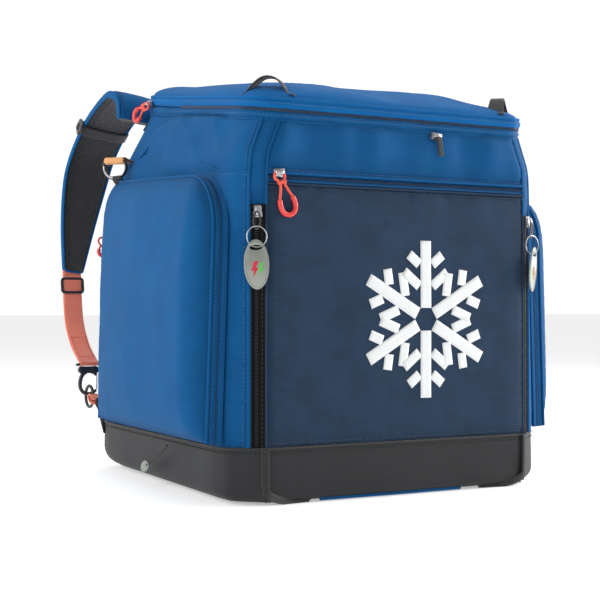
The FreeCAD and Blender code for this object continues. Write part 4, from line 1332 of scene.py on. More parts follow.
def tray(s, depth, out=0.0):
    """A point of the tray, a distance down its wall, round its edge and in over its floor."""
    radius = tray_round(s)
    straight = RIM - FLOOR - radius
    if depth <= straight:
        inwards, height = 0.0, RIM - depth
    elif depth <= straight + radius * math.pi / 2:
        angle = (depth - straight) / radius
        inwards, height = radius * (1 - math.cos(angle)), FLOOR + radius * (1 - math.sin(angle))
    else:
        inwards, height = radius + depth - straight - radius * math.pi / 2, FLOOR
    inwards -= out
    ring_s = s % STATIONS
    side = 1 if ring_s <= 6 else -1
    point = on_level(inset_level(LEVELS[0], inwards), ring_s if side > 0 else STATIONS - ring_s)
    return Vector((point.x * side, point.y, height))


print("tray rounding at the back:", tray_round(5), "and at the front:", tray_round(0))


# %% Base tray
def round_the_ring(fine, coarse):
    """Stations round the whole ring, with more steps on its long runs."""
    made = []
    for corner in range(STATIONS):
        steps = fine if corner in (0, 3, 5, 6, 8, 11) else coarse
        made += [corner + i / steps for i in range(steps)]
    return made


stations = round_the_ring(14, 7)
TRAY_ROWS, WALL_ROWS, WALL_DEPTH = 27, 14, 0.056
tray_rows = []
for k in range(TRAY_ROWS):
    depth = WALL_DEPTH * min(k, WALL_ROWS) / WALL_ROWS + 0.0045 * max(k - WALL_ROWS, 0) ** 1.28
    row = []
    for s in stations:
        point = tray(s, depth)
        sway = 0.0007 * crease(point, 0.05, 31) if 0.004 < depth < 0.05 else 0
        row.append(tray(s, depth, sway) if sway else point)
    tray_rows.append(row)
tray_shape = grid(tray_rows, wrap=True, hem=[math.exp(-k / 2.5) for k in range(TRAY_ROWS) for _ in stations])
tray_shape.add_face(range(len(tray_shape.points) - len(stations), len(tray_shape.points)))
piece("base_tray", tray_shape.facing(Vector((0, 0, 0.06))), COATED, "bag", "coated_black", ["base_tub"],
      thick=0.0025)
rim_path = [tray(s, 0.0004, 0.0004) for s in stations]
piece("base_rim", sweep(rim_path, round_section(0.0010), closed=True), BINDING, "bag", "coated_black")
for start, end in ((-0.97, 0.97), (1.15, 10.85)):
    line = [tray(s, 0.0052, 0.0009) for s in spread(start, end, 160)]
    ends = [tray(s, 0.0052, 0.01) for s in spread(start, end, 160)]
    note_line("stitch_black", "bag", line, [(b - a).normalized() for a, b in zip(line, ends)])

# %% [markdown]
# The binding runs down the front corner, turns along the lower edge and ends there. It is a fat
# flat tape, folded over the seam, with a row of stitches on each side.

# %% Corner binding of the base
BIND_AT = ((1.06, 0.0), (1.06, 0.020), (1.04, 0.036), (0.98, 0.047), (0.90, 0.054), (0.80, 0.059),
           (0.68, 0.062))


def binding_line(aside, out):
    """The binding's line over the tray, moved sideways by a number of stations."""
    marks = smooth([(s, 0, d) for s, d in BIND_AT], 10)
    line = [tray(m.x + aside * (1 - 0.6 * i / len(marks)), m.z + aside * 0.05 * i / len(marks), out)
            for i, m in enumerate(marks)]
    return turns(line, 70)


bind_up = (tray(1.0, 0.02, 0.02) - tray(1.0, 0.02)).normalized()
bind_shape = sweep(binding_line(0, 0.0012), flat_section(0.0085, 0.0034), bind_up)
twins("base_binding", bind_shape, BINDING, "bag", "coated_black")
for aside in (-0.014, 0.16):
    note_line("stitch_black", "bag", binding_line(aside, 0.0024), bind_up, both=True)

# %% [markdown]
# A blue fold shows under the front of the tray. The patch below it and the board inside are slabs
# that thin out along their edges.

# %% Fold, patch and board
def slab(wide, deep, thick, radius):
    """A slab in the XY plane that thins out along its edge."""
    outline = rounded_box(wide, deep, radius, 8)
    top, low = [], []
    for k in range(8):
        share = 1 - (k / 8) ** 1.4
        height = thick / 2 * min(1, 0.35 + 6 * (1 - share))
        top.append([Vector((x * share, y * share, height)) for x, y in outline])
        low.append([Vector((x * share, y * share, -height)) for x, y in outline])
    made = grid(list(reversed(low)) + top, wrap=True).close_ends(len(outline))
    made.maps = [made.seen_from_above(f) for f in made.faces]
    return made


def boxed(node):
    """A node's middle and its three spans."""
    low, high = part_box(node)
    return (low + high) / 2, high - low


FOLD_DEPTH = RIM - FLOOR - 0.009 + 0.0118
fold_line = [tray(s, FOLD_DEPTH, 0.0006) for s in spread(-0.50, 0.60, 60)]
piece("front_fold", sweep(fold_line, round_section(0.0022)), BLUE, "bag", "bag_blue")
for name, node, radius, finish, slot in (("bottom_patch_cloth", "bottom_patch", 0.03, BLUE, "bag_blue"),
                                         ("base_board_sheet", "base_board", 0.02, BOARD, "board_grey")):
    at, span = boxed(node)
    flat = slab(*span, radius).moved(Matrix.Translation(at))
    piece(name, flat, finish, "bag", slot, [node])
print("base done")

# %% [markdown]
# ## The lid
#
# The lid is hinged along the back of the mouth and closed by a zip that runs round the other three
# sides. The mouth's lower tape belongs to the bag; the coil, the upper band and the domed crown
# swing up with the lid. The seam's plane slopes, so everything here is measured along that plane's
# own normal.

# %% Seam plane
slope = (LEVELS[2][-1] - LEVELS[2][0]).normalized()
PLANE_UP = Vector((1, 0, 0)).cross(slope)
RIM_MIDDLE = (LEVELS[2][0] + LEVELS[2][-1]) / 2
TAPE_RISE, BAND_TOP = 0.008, 0.019
CROWN = 0.0235


def rim_out(s):
    """The way out of the ring, within the seam's plane."""
    away = wall_out(s, 2)
    return (away - PLANE_UP * away.dot(PLANE_UP)).normalized()


def rim(s, up, out=0.0):
    """A point over the lid seam: up from its plane and out from its ring."""
    return wall_point(s, 2) + PLANE_UP * up + rim_out(s) * out


around = round_the_ring(26, 8)
print("points round the rim:", len(around), "seam slope:", round(math.degrees(math.asin(slope.z)), 1))


# %% Mouth tape, band and crown
def rim_sheet(profile, seed):
    """A sheet round the rim from a list of (up, out)."""
    rows = []
    for up, out in profile:
        rows.append([rim(s, up, out + 0.0007 * crease(wall_point(s, 2), 0.03, seed)) for s in around])
    return grid(rows, wrap=True)


def hooked(count, low, high, base, proud):
    """A band's profile: swollen between its two sewn edges."""
    return [(low + (high - low) * i / count, base + proud * math.sin(math.pi * i / count) ** 0.7)
            for i in range(count + 1)]


tape_profile = hooked(8, -0.0015, TAPE_RISE, 0.0004, 0.0030)
band_profile = hooked(9, TAPE_RISE + 0.0006, BAND_TOP, 0.0006, 0.0034)
centre = RIM_MIDDLE + PLANE_UP * 0.01
piece("mouth_tape_cloth", rim_sheet(tape_profile, 41).facing(centre), ZIP_BLUE, "bag", "zip_blue",
      ["mouth_tape"], thick=0.0014)

crown_rows = [[rim(s, up, out) for s in around] for up, out in band_profile]
RINGS = 30
for k in range(1, RINGS):
    q = (k / RINGS) ** 1.2
    row = []
    for s in around:
        edge = rim(s, BAND_TOP, 0.0006)
        middle = RIM_MIDDLE + PLANE_UP * BAND_TOP
        flat = edge.lerp(middle, q)
        rise = CROWN * math.sqrt(1 - (1 - q) ** 2)
        slack = swell(q, 0.2) * (0.0030 * crease(flat, 0.09, 51) + 0.0018 * folds(flat, 0.12, 55))
        row.append(flat + PLANE_UP * (rise + slack))
    crown_rows.append(row)
lid_shape = grid(crown_rows, wrap=True)
top_ring = (len(crown_rows) - 1) * len(around)
lid_shape.points.append(RIM_MIDDLE + PLANE_UP * (BAND_TOP + CROWN))
lid_shape.hem.append(0.0)
tip = len(lid_shape.points) - 1
for j in range(len(around)):
    lid_shape.add_face((top_ring + j, top_ring + (j + 1) % len(around), tip))
for number in range(len(band_profile) * len(around), len(lid_shape.faces)):
    lid_shape.maps[number] = lid_shape.seen_from_above(lid_shape.faces[number])
# painted light: the lid's cloth is the walls' blue, painted lighter for the light that falls on the top
lid_cloth = piece("lid_cloth", lid_shape.facing(centre), LID_BLUE_PAINTED_LIGHTER, "lid", "bag_blue", ["lid_shell"],
                  thick=CLOTH_THICK)
for name, up, radius, finish, body, slot in (
        ("crown_piping", BAND_TOP + 0.0004, 0.0018, LID_BLUE_PAINTED_LIGHTER, "lid", "bag_blue"),
        ("mouth_piping", -0.0018, 0.0015, ZIP_BLUE, "bag", "zip_blue")):
    line = [rim(s, up, 0.0012) for s in around]
    piece(name, sweep(line, round_section(radius), closed=True), finish, body, slot)
print("lid crown:", len(lid_cloth.data.polygons), "faces")

# %% [markdown]
# The coil lies between tape and band from one back corner round the front to the other. Two rows
# of stitches run beside it.

# %% Lid zip
zip_stations = spread(-3.93, 3.93, 240)
zip_outs = [rim_out(s) for s in zip_stations]
zip_path = [rim(s, TAPE_RISE + 0.0004, 0.0012) for s in zip_stations]
bed = sweep(zip_path, flat_section(0.0062, 0.0011), zip_outs)
piece("lid_zip_bed", bed, DARK_COIL, "lid", "zip_blue", ["lid_zip"])
for kind, body, up, out in (("teeth_blue", "lid", TAPE_RISE + 0.0004, 0.0020),
                            ("stitch_blue", "bag", 0.0030, 0.0036), ("stitch_blue", "lid", 0.0150, 0.0040)):
    note_line(kind, body, [rim(s, up, out) for s in zip_stations], zip_outs)


# %% Grab loops
LOOP_OUT, LOOP_DROP = 0.0075, 0.0100


def grab_loop():
    """A webbing arch over a front corner of the lid, with both feet sewn flat."""
    at, _ = boxed("grab_loop_left")
    turn = Matrix.Rotation(math.radians(-45), 4, "Z")
    heights = ((-0.029, -0.0005), (-0.026, 0.0012), (-0.021, 0.006), (-0.014, 0.014), (-0.006, 0.0195),
               (0.002, 0.0202), (0.010, 0.017), (0.017, 0.009), (0.023, 0.001), (0.027, 0.0), (0.030, -0.001))
    widths = (0.95, 0.95, 0.85, 0.72, 0.66, 0.66, 0.70, 0.80, 0.95, 1.0, 1.0)
    line = smooth([(x, 0, z) for x, z in heights], 5)
    wide = [w.x for w in smooth([(w, 0, 0) for w in widths], 5)]
    made = sweep(line, flat_section(0.022, 0.0016), (0, 0, 1), widths=wide)
    foot = Vector((at.x - LOOP_OUT, at.y - LOOP_OUT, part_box("grab_loop_left")[0].z - LOOP_DROP))
    return made.moved(Matrix.Translation(foot) @ turn)


twins("grab_loop_strap", grab_loop(), BLACK_STRAP, "lid", "webbing_black", ["grab_loop"])
print("grab loops done")

# %% [markdown]
# ## Side pockets
#
# Each side carries a deep pocket. Its outline is a door with rounded top corners; a gusset with
# the zip stands out from the wall along that outline, and the face swells like a cushion. The face
# is a body of its own, because it folds down about its lower edge when the zip is open.

# %% The pocket's own frame
POCKET_LONG, POCKET_LOW, POCKET_HIGH, POCKET_ROUND = 0.356, 0.004, 0.287, 0.058
BAND_DEPTH, FACE_DEPTH, FACE_REACH = 0.0152, 0.0245, 0.066
side_root = LEVELS[0][3]
side_way = Vector((LEVELS[0][4] - side_root).to_2d().to_3d()).normalized()
side_up = (LEVELS[1][3] - side_root)
side_up = (side_up - side_way * side_up.dot(side_way)).normalized()
side_out = side_up.cross(side_way).normalized()


def band_depth(along):
    """The gusset stands out less towards the back."""
    share = min(max((along - 0.15) / (POCKET_LONG - 0.15), 0), 1)
    return BAND_DEPTH * (1 - 0.42 * share * share * (3 - 2 * share))


def pocket_at(along, up, out):
    """A point over the wall, on a door that is a little taller at its back."""
    up = up * (0.955 + 0.075 * along / POCKET_LONG)
    return side_root + side_way * along + side_up * up + side_out * out


def door(count=40):
    """The pocket's outline as (along, up), from the front foot over the top to the back foot."""
    radius, long, high = POCKET_ROUND, POCKET_LONG, POCKET_HIGH
    bend = high - radius
    quarter = spread(0, math.pi / 2, 12)
    line = [(0.0, POCKET_LOW + (bend - POCKET_LOW) * i / count) for i in range(count)]
    line += [(radius - radius * math.cos(a), bend + radius * math.sin(a)) for a in quarter]
    line += [(radius + (long - 2 * radius) * i / count, high) for i in range(1, count)]
    line += [(long - radius + radius * math.sin(a), bend + radius * math.cos(a)) for a in quarter]
    line += [(long, bend - (bend - POCKET_LOW) * i / count) for i in range(1, count + 1)]
    return line


def door_outs(line):
    """The way out of the outline, in the wall's plane."""
    outs = []
    for i in range(len(line)):
        a, b = line[max(i - 1, 0)], line[min(i + 1, len(line) - 1)]
        way = Vector((b[0] - a[0], b[1] - a[1])).normalized()
        outs.append(side_way * -way.y + side_up * way.x)
    return outs


print("pocket outline:", len(door()), "points; the side looks", [round(c, 2) for c in side_out])


# %% Gusset and its zip
outline, gusset_outs = door(), door_outs(door())
GUSSET_ROOT, GUSSET_LIP = -0.001, 0.0006


def on_gusset(share, lift, aside):
    """A line round the outline: at a share of the gusset's depth, lifted, and moved sideways."""
    return [pocket_at(a, u, band_depth(a) * share + lift) + o * aside
            for (a, u), o in zip(outline, gusset_outs)]


gusset_rows = []
for share in spread(0, 1, 12):
    ridge = 0.0016 * abs(math.sin(2 * math.pi * share)) - 0.0006
    gusset_rows.append(on_gusset(share, GUSSET_ROOT + GUSSET_LIP * share, ridge))
gusset_centre = pocket_at(POCKET_LONG / 2, POCKET_HIGH / 3, 0.007)
twins("pocket_gusset", grid(gusset_rows).facing(gusset_centre), ZIP_BLUE, "bag", "zip_blue",
      ["pocket_band"], thick=0.0014)
note_line("teeth_blue", "bag", on_gusset(0.5, 0, -0.0004), gusset_outs, both=True)
for share in (0.2, 0.8):
    note_line("stitch_blue", "bag", on_gusset(share, 0, 0.0009), gusset_outs, both=True)
root_piping = sweep(on_gusset(0, 0.0008, 0.0006), round_section(0.0016), side_out)
twins("pocket_root_piping", root_piping, BLUE, "bag", "bag_blue")
print("gusset rows:", len(gusset_rows))


# %% Pocket face
def face_point(along, up):
    """A point of the pocket's swollen face."""
    radius = POCKET_ROUND
    past_side = max(radius - along, along - (POCKET_LONG - radius), 0)
    over = Vector((past_side, max(up - (POCKET_HIGH - radius), 0)))
    edge = min(along, POCKET_LONG - along, POCKET_HIGH - up)
    if over.x > 0 and over.y > 0:
        edge = radius - over.length
    edge = min(edge, (up - POCKET_LOW) * 2)
    base = pocket_at(along, up, 0)
    soft = 0.0013 * crease(base, 0.10, 61) + 0.0006 * crease(base, 0.035, 64)
    draw = 0.0008 * math.sin((along + up) * 420) * math.exp(-max(edge, 0) / 0.008)
    rise = swell(along, 0.030) * swell(POCKET_LONG - along, 0.23) * swell(POCKET_HIGH - up, 0.085)
    rise *= swell(up - POCKET_LOW, FACE_REACH) * swell(edge, 0.022) ** 0.5
    out = FACE_DEPTH * rise + swell(edge, 0.03) * soft + draw
    point = pocket_at(along, up, band_depth(along) + GUSSET_LIP + out)
    return point, math.exp(-max(edge, 0) / 0.006) * 0.8


def face_shape():
    radius = POCKET_ROUND
    ups = [POCKET_LOW + (POCKET_HIGH - radius - POCKET_LOW) * (i / 38) for i in range(38)]
    ups += [POCKET_HIGH - radius + radius * math.sin(math.pi / 2 * i / 16) for i in range(17)]
    rows, hems = [], []
    for up in ups:
        rise = max(up - (POCKET_HIGH - radius), 0)
        nook = radius - math.sqrt(max(radius ** 2 - rise ** 2, 0))
        row = []
        for j in range(69):
            share = 0.5 - 0.5 * math.cos(math.pi * j / 68)
            share = 0.55 * share + 0.45 * j / 68
            point, hem = face_point(nook + (POCKET_LONG - 2 * nook) * share, up)
            row.append(point)
            hems.append(hem)
        rows.append(row)
    return grid(rows, hem=hems)


face_sheet = face_shape().facing(gusset_centre - side_out * 0.1)
faces = twins("pocket_face", face_sheet, BLUE, "pocket_flap", "bag_blue", ["pocket_flap"], thick=0.0024)
face_piping = sweep(on_gusset(1, 0.0010, 0.0003), round_section(0.0017), side_out)
twins("pocket_face_piping", face_piping, BLUE, "pocket_flap", "bag_blue")
print("pocket face:", len(faces[0].data.polygons), "faces")

# %% [markdown]
# ## Zip sliders and pulls
#
# All sliders share one shape: two waisted plates, a post between them and an arched bridge. Each
# part is drawn in a local frame whose X runs along the zip and whose -Y looks out of the cloth,
# and `seat` turns that frame into its place on the bag.

# %% Local frames and the slider
def seat(origin, along, out):
    """A matrix whose X runs along and whose -Y looks out."""
    x = Vector(along).normalized()
    y = -Vector(out)
    y = (y - x * y.dot(x)).normalized()
    made = Matrix((x, y, x.cross(y))).transposed().to_4x4()
    made.translation = Vector(origin)
    return made


def shift(x=0.0, y=0.0, z=0.0):
    return Matrix.Translation((x, y, z))


def tilt(degrees, axis="Y"):
    return Matrix.Rotation(math.radians(degrees), 4, axis)


def slider_shape(long=0.012, wide=0.009):
    """A zip slider about the origin."""
    half, side = long / 2, wide / 2
    upper = [(-half, 0.62), (-half * 0.75, 0.85), (-half * 0.1, 0.82), (half * 0.4, 1.0), (half * 0.85, 1.0),
             (half, 0.75)]
    outline = [(x, w * side) for x, w in upper] + [(x, -w * side) for x, w in reversed(upper)]
    made = plate(outline, 0.0012, 0.0003).moved(shift(y=-0.0011))
    made = made.join(plate(outline, 0.0010, 0.0002).moved(shift(y=0.0011)))
    made = made.join(block((0.0022, 0.0024, 0.0026), 0.0003).moved(shift(x=half * 0.6)))
    arch = smooth([(-0.0044, -0.0014, 0), (-0.0038, -0.0034, 0), (-0.0012, -0.0047, 0), (0.0016, -0.0047, 0),
                   (0.0040, -0.0036, 0), (0.0046, -0.0014, 0)], 4)
    return made.join(sweep(arch, edgewise(0.0030, 0.0011, 3), (0, 0, 1)))


def middle_of(node):
    return boxed(node)[0]


corner_out = Vector((-0.568, -0.823, 0))
lid_way = Vector((-0.0686, -0.9876, -0.1415))
for name, node, nudge, along, out in (
        ("front_slider", "front_slider", (0, 0.0008, 0), (1, 0, 0), (0, -1, 0)),
        ("corner_slider", "corner_slider_left", (0.0006, 0.0009, 0), (0, 0, -1), corner_out),
        ("lid_slider", "lid_slider_left", (0.0012, 0, 0), lid_way, (-1, 0.07, 0.05))):
    make = piece if name == node else twins
    placed = slider_shape().moved(seat(middle_of(node) + Vector(nudge), along, out))
    make(name + "_body", placed, STEEL, name, "metal_silver", [name])
tab_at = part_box("seam_tab")[1].z - 0.006
tab_seat = seat((0.041, -0.2166, tab_at), (1, 0, 0.03), (0, -1, 0.1))
piece("seam_slider", slider_shape(0.013, 0.009).moved(tab_seat @ tilt(14)), STEEL, "seam_tab", "metal_silver",
      ["seam_tab"])
ribbon = smooth([(0.0, -0.0048, -0.001), (0.0006, -0.0058, -0.006), (0.0014, -0.0048, -0.014),
                 (0.002, -0.0042, -0.022)], 5)
piece("seam_ribbon", sweep(ribbon, flat_section(0.0066, 0.0013), (0, -1, 0)).moved(tab_seat), BLACK_STRAP,
      "seam_tab", "metal_silver")
print("sliders made")

# %% [markdown]
# The cord pulls are a loop of cord through the bridge, pinched below it and opened into a drop,
# whose lower bend is sleeved with a rubber tube. They never hang quite straight.

# %% Cord pulls
def drop_line(long, wide):
    """The closed line of a pull, hanging down from the origin."""
    half = wide / 2
    right = [(0.0, 0.0014), (0.0042, 0.0006), (0.0058, -0.0035), (0.0030, -0.0085), (0.0022, -0.0105),
             (half * 0.48, -0.40 * long), (half * 0.88, -0.60 * long), (half, -0.78 * long),
             (half * 0.74, -0.93 * long), (0.0, -long)]
    left = [(-x, z) for x, z in reversed(right[1:-1])]
    return smooth([(x, 0, z) for x, z in right + left], 7, closed=True)


def cord_pull(name, body, matrix, long, wide, lean, node, mirrored=True):
    """The pull's cord, knot and rubber grip."""
    line = [tilt(lean) @ Vector(p) if p.z < -0.006 else p for p in drop_line(long, wide)]
    line = turns(line, 110, closed=True)
    cord = sweep(line, round_section(0.0014, 10), (0, 1, 0), closed=True)
    knot = [tilt(lean) @ Vector((x, 0, z)) for x, z in ((0.0045, -0.0095), (0, -0.0088), (-0.0045, -0.0095))]
    cord = cord.join(sweep(turns(knot, 9), round_section(0.0021, 10), (0, 1, 0)))
    low = [p for p in line if (tilt(-lean) @ p).z < -0.60 * long]
    grip = sweep(low, round_section(0.0026, 12), (0, 1, 0))
    make = twins if mirrored else piece
    make(name + "_cord", cord.moved(matrix), RED_CORD, body, "cord_red", [node])
    make(name + "_grip", grip.moved(matrix), RUBBER, body, "cord_red")


front_at = Vector((-0.151, -0.21775, 0.3342))
front_seat = seat(front_at, (1, 0, 0), (0, -1, 0))
cord_pull("front_pull", "front_pull", front_seat, 0.043, 0.017, -17, "front_pull", False)
lid_at = Vector((-0.163181, 0.091636, 0.443782))
lid_seat = seat(lid_at + Vector((-0.0015, 0, 0)), (0.0693, -0.9976, 0), (-0.9976, -0.0693, 0))
cord_pull("lid_pull", "lid_pull", lid_seat, 0.034, 0.014, 66, "lid_pull")
rear_at = middle_of("pocket_slider_left")
rear_seat = seat(rear_at + Vector((0, -0.0008, 0.0092)), (0, 0, -1), (0, 1, 0))
twins("pocket_slider_body", slider_shape().moved(rear_seat), STEEL, "pocket_slider", "metal_silver",
      ["pocket_slider"])
rear_pull = seat(rear_at + Vector((-0.0010, 0.0068, 0.008)), (-1, 0, 0), (0, 1, 0))
small = turns(drop_line(0.0215, 0.011), 80, closed=True)
small_cord = sweep(small, round_section(0.0013, 10), (0, 1, 0), closed=True)
twins("pocket_pull_cord", small_cord.moved(rear_pull), RED_CORD, "pocket_slider", "metal_silver")
small_grip = sweep([p for p in small if p.z < -0.013], round_section(0.0024, 12), (0, 1, 0))
twins("pocket_pull_grip", small_grip.moved(rear_pull), RUBBER, "pocket_slider", "metal_silver")
print("cord pulls made")

# %% [markdown]
# The corner zips carry a dark bail, a split ring of two turns of wire, and an oval tag with a small
# two-coloured flash stamped on it.

# %% Bail, split ring and tag
tag_way = Vector((0.823, -0.568, 0))
TAG_X, TAG_Y = -0.174025, -0.212474
bail_seat = seat((TAG_X, TAG_Y, 0.2952), tag_way, corner_out)
bail = plate(oval(0.0088, 0.0192, (0, -0.0086)), 0.0020, 0.0005, oval(0.0050, 0.0136, (0, -0.0080)))
twins("corner_bail", bail.moved(bail_seat @ shift(y=-0.0012) @ tilt(4, "X")), DARK_PULL, "corner_pull",
      "metal_silver", ["corner_pull"])
ring_seat = seat((TAG_X, TAG_Y, 0.281), tag_way, corner_out)
COIL_STEPS, COIL_RADIUS = 112, 0.0105
coil = []
for i in range(COIL_STEPS + 1):
    turn = 4 * math.pi * i / COIL_STEPS
    coil.append((COIL_RADIUS * math.sin(turn), 0.0011 * (i / COIL_STEPS - 0.5),
                 -0.0108 + COIL_RADIUS * math.cos(turn)))
split = sweep(coil, round_section(0.00055, 8), (0, 1, 0)).moved(ring_seat @ shift(y=-0.0014) @ tilt(25, "Z"))
twins("split_ring", split, STEEL, "corner_tag", "tag_metal", ["corner_tag"])
tag = plate(oval(0.0255, 0.0500, count=44), 0.0016, 0.0005, oval(0.0130, 0.0052, (0, 0.0168), 44))
tag_seat = ring_seat @ shift(y=-0.0026, z=-0.0385) @ tilt(3, "X") @ tilt(-2)
twins("oval_tag", tag.moved(tag_seat), TAG, "corner_tag", "tag_metal")
lip_line = [(x, 0, z) for x, z in oval(0.0222, 0.0464, count=44)]
lip = sweep(lip_line, round_section(0.0004, 6), (0, 1, 0), closed=True)
twins("tag_rim", lip.moved(tag_seat @ shift(y=-0.0008)), TAG, "corner_tag", "tag_metal")
flash = [(-0.0005, 0.0085), (0.0042, 0.0085), (0.0012, 0.0022), (0.0040, 0.0022), (-0.0022, -0.0080),
         (-0.0004, -0.0010), (-0.0034, -0.0010)]
red_half = [(x - 0.0020, z - 0.0055) for x, z in flash]
green_half = [(x * 0.8 + 0.0042, z * 0.8 - 0.0055) for x, z in flash]
for name, outline, ink in (("tag_flash_red", red_half, RED_INK), ("tag_flash_green", green_half, GREEN_INK)):
    mark = plate(outline, 0.0003, 0.00004).moved(tag_seat @ shift(y=-0.0009))
    twins(name, mark, ink, "corner_tag", "tag_metal")
print("tags made")

# %% [markdown]
# ## Rings, hooks and straps
#
# Each shoulder strap starts at the top of the back, bows over and ends in a webbing whose snap hook
# clips into a ring low on the back. A D-ring hangs on each shoulder from a folded tan tab.

# %% D-ring and its tab
dee_seat = seat((-0.190, 0.128, 0.378), (0.669, -0.743, 0), (-0.743, -0.669, 0))
half_dee = [(0.0, 0.0), (0.0085, 0.0), (0.0135, -0.0012), (0.0147, -0.006), (0.0138, -0.0125),
            (0.0095, -0.0185), (0.0040, -0.0212)]
dee = half_dee + [(0.0, -0.0216)] + [(-x, z) for x, z in reversed(half_dee[1:])]
dee_line = turns(smooth([(x, 0, z) for x, z in dee], 7, closed=True), 96, closed=True)
dee_section = [(a * 0.0020, b * 0.0026) for a, b in round_section(1, 12)]
dee_shape = sweep(dee_line, dee_section, (0, 1, 0), closed=True)
twins("dee_ring_frame", dee_shape.moved(dee_seat), PLASTIC, "dee_ring", "plastic_black", ["dee_ring"])
bow = [p for p in dee_line if p.z < -0.0052]
split_at = max(range(len(bow)), key=lambda i: (bow[i] - bow[i - 1]).length)
bow = [p * 0.955 + Vector((0, -0.0016, -0.0005)) for p in bow[split_at:] + bow[:split_at]]
bow_shape = sweep(bow, round_section(0.00135), (0, 1, 0))
twins("dee_ring_edge", bow_shape.moved(dee_seat), STEEL, "dee_ring", "plastic_black")
wrap = ((0.0255, 0.0012), (0.0120, 0.0026), (0.0035, 0.0036), (-0.0022, 0.0028), (-0.0040, -0.0004),
        (-0.0024, -0.0032), (0.0020, -0.0038), (0.0110, -0.0024), (0.0255, -0.0010))
wrap_shape = sweep(smooth([(0, y, z) for y, z in wrap], 6), edgewise(0.0255, 0.0013), (1, 0, 0))
twins("tan_tab", wrap_shape.moved(dee_seat), TAN_STRAP, "bag", "webbing_tan", ["dee_loop"])
for x in (-0.0105, 0.0105):
    line = [dee_seat @ Vector((x, 0.006 + 0.018 * i / 16, 0.0031 - 0.0014 * i / 16)) for i in range(17)]
    note_line("stitch_orange", "bag", line, (0, 0, 1), both=True)
hang = smooth([(0.004, -0.0034, -0.0190), (0.0045, -0.0044, -0.0225), (0.0075, -0.0030, -0.0262),
               (0.0105, 0.0005, -0.0285)], 6)
tail_shape = sweep(hang, flat_section(0.0115, 0.0018), (0, -1, 0))
twins("dee_tail", tail_shape.moved(dee_seat), BLACK_STRAP, "dee_ring", "plastic_black")
print("D-rings made")

# %% [markdown]
# The pad's line is known from its side view. The whole pad leans outwards, so the line is turned
# about its top. Its section is a flattened oval, narrower at both ends.

# %% Shoulder pads
PAD_ROUTE = ((0.153, 0.430), (0.156, 0.451), (0.172, 0.462), (0.197, 0.460), (0.240, 0.442), (0.272, 0.418),
             (0.295, 0.388), (0.306, 0.350), (0.309, 0.300), (0.305, 0.247))
LEAN = math.radians(8)
LEAN_X, LEAN_TOP = -0.150, 0.460
ACROSS = Vector((math.cos(LEAN), 0, -math.sin(LEAN)))
PAD_STEPS = 90
LAST = PAD_STEPS - 1


def leaning(y, z):
    """A point of the side view on the plane that leans outwards."""
    drop = LEAN_TOP - z
    return Vector((LEAN_X - drop * math.sin(LEAN), y, LEAN_TOP - drop * math.cos(LEAN)))


def ways_along(line):
    """The way ahead at each point of a line."""
    ends = [line[0]] + line + [line[-1]]
    return [(ahead - behind).normalized() for behind, ahead in zip(ends, ends[2:])]


pad_line = turns(smooth([leaning(y, z) for y, z in PAD_ROUTE], 10), PAD_STEPS)
pad_ways = ways_along(pad_line)
pad_ups = [ACROSS.cross(way) for way in pad_ways]


def pad_width(u):
    """How wide the pad is along its length, as a share."""
    top = 0.74 + 0.26 * min(1, u / 0.14)
    low = 1.0 if u < 0.62 else 1.0 - 0.56 * ((u - 0.62) / 0.38) ** 1.3
    return top * low


pad_widths = [pad_width(i / LAST) for i in range(PAD_STEPS)]
HALF_PAD, PAD_EDGE, PAD_HIGH = 0.0285, 0.0288, 0.0056
soft = [(HALF_PAD * blunt(math.cos(turn_of(i, 36)), 0.62), PAD_HIGH * blunt(math.sin(turn_of(i, 36)), 0.72))
        for i in range(36)]
pads = twins("shoulder_pad", sweep(pad_line, soft, pad_ups, widths=pad_widths), MESH, "bag", "mesh_black",
             ["strap_pad"])
outer_rows = []
for at, up, wide in zip(pad_line, pad_ups, pad_widths):
    row = []
    for k in range(17):
        a = math.pi * (0.06 + 0.88 * k / 16)
        row.append(at + ACROSS * (0.0286 * blunt(math.cos(a), 0.62) * wide)
                   + up * (PAD_HIGH * math.sin(a) ** 0.72 + 0.0007))
    outer_rows.append(row)
outer_cloth = grid(outer_rows).facing(pad_line[45] - pad_ups[45] * 0.1)
twins("pad_outer_cloth", outer_cloth, BLUE, "bag", "mesh_black", thick=0.0010)
inner_edge, outer_edge = ([at + ACROSS * (side * PAD_EDGE * wide) for at, wide in zip(pad_line, pad_widths)]
                          for side in (-1, 1))
tip = pad_line[LAST] + pad_ways[LAST] * 0.0015
tip_curve = [tip + ACROSS * (PAD_EDGE * pad_widths[LAST] * x) for x in (-0.7, 0, 0.7)]
edge = turns(inner_edge + tip_curve + list(reversed(outer_edge)), 190)
middles = [min(pad_line, key=lambda q: (q - p).length) for p in edge]
edge_ups = [pad_ups[pad_line.index(q)] for q in middles]
hug = [(a * 0.0019, b * 0.0046) for a, b in round_section(1, 10)]
twins("pad_binding", sweep(edge, hug, edge_ups), BLUE, "bag", "mesh_black")
for side in (-1, 1):
    for face in (-1, 1):
        line = [pad_line[i] + ACROSS * (side * 0.0225 * pad_widths[i]) + pad_ups[i] * (face * 0.0053)
                for i in range(2, PAD_STEPS - 2)]
        note_line("stitch_black", "bag", line, [u * face for u in pad_ups[2:-2]], both=True)
print("pad length:", round(lengths(pad_line)[-1], 3), "m")

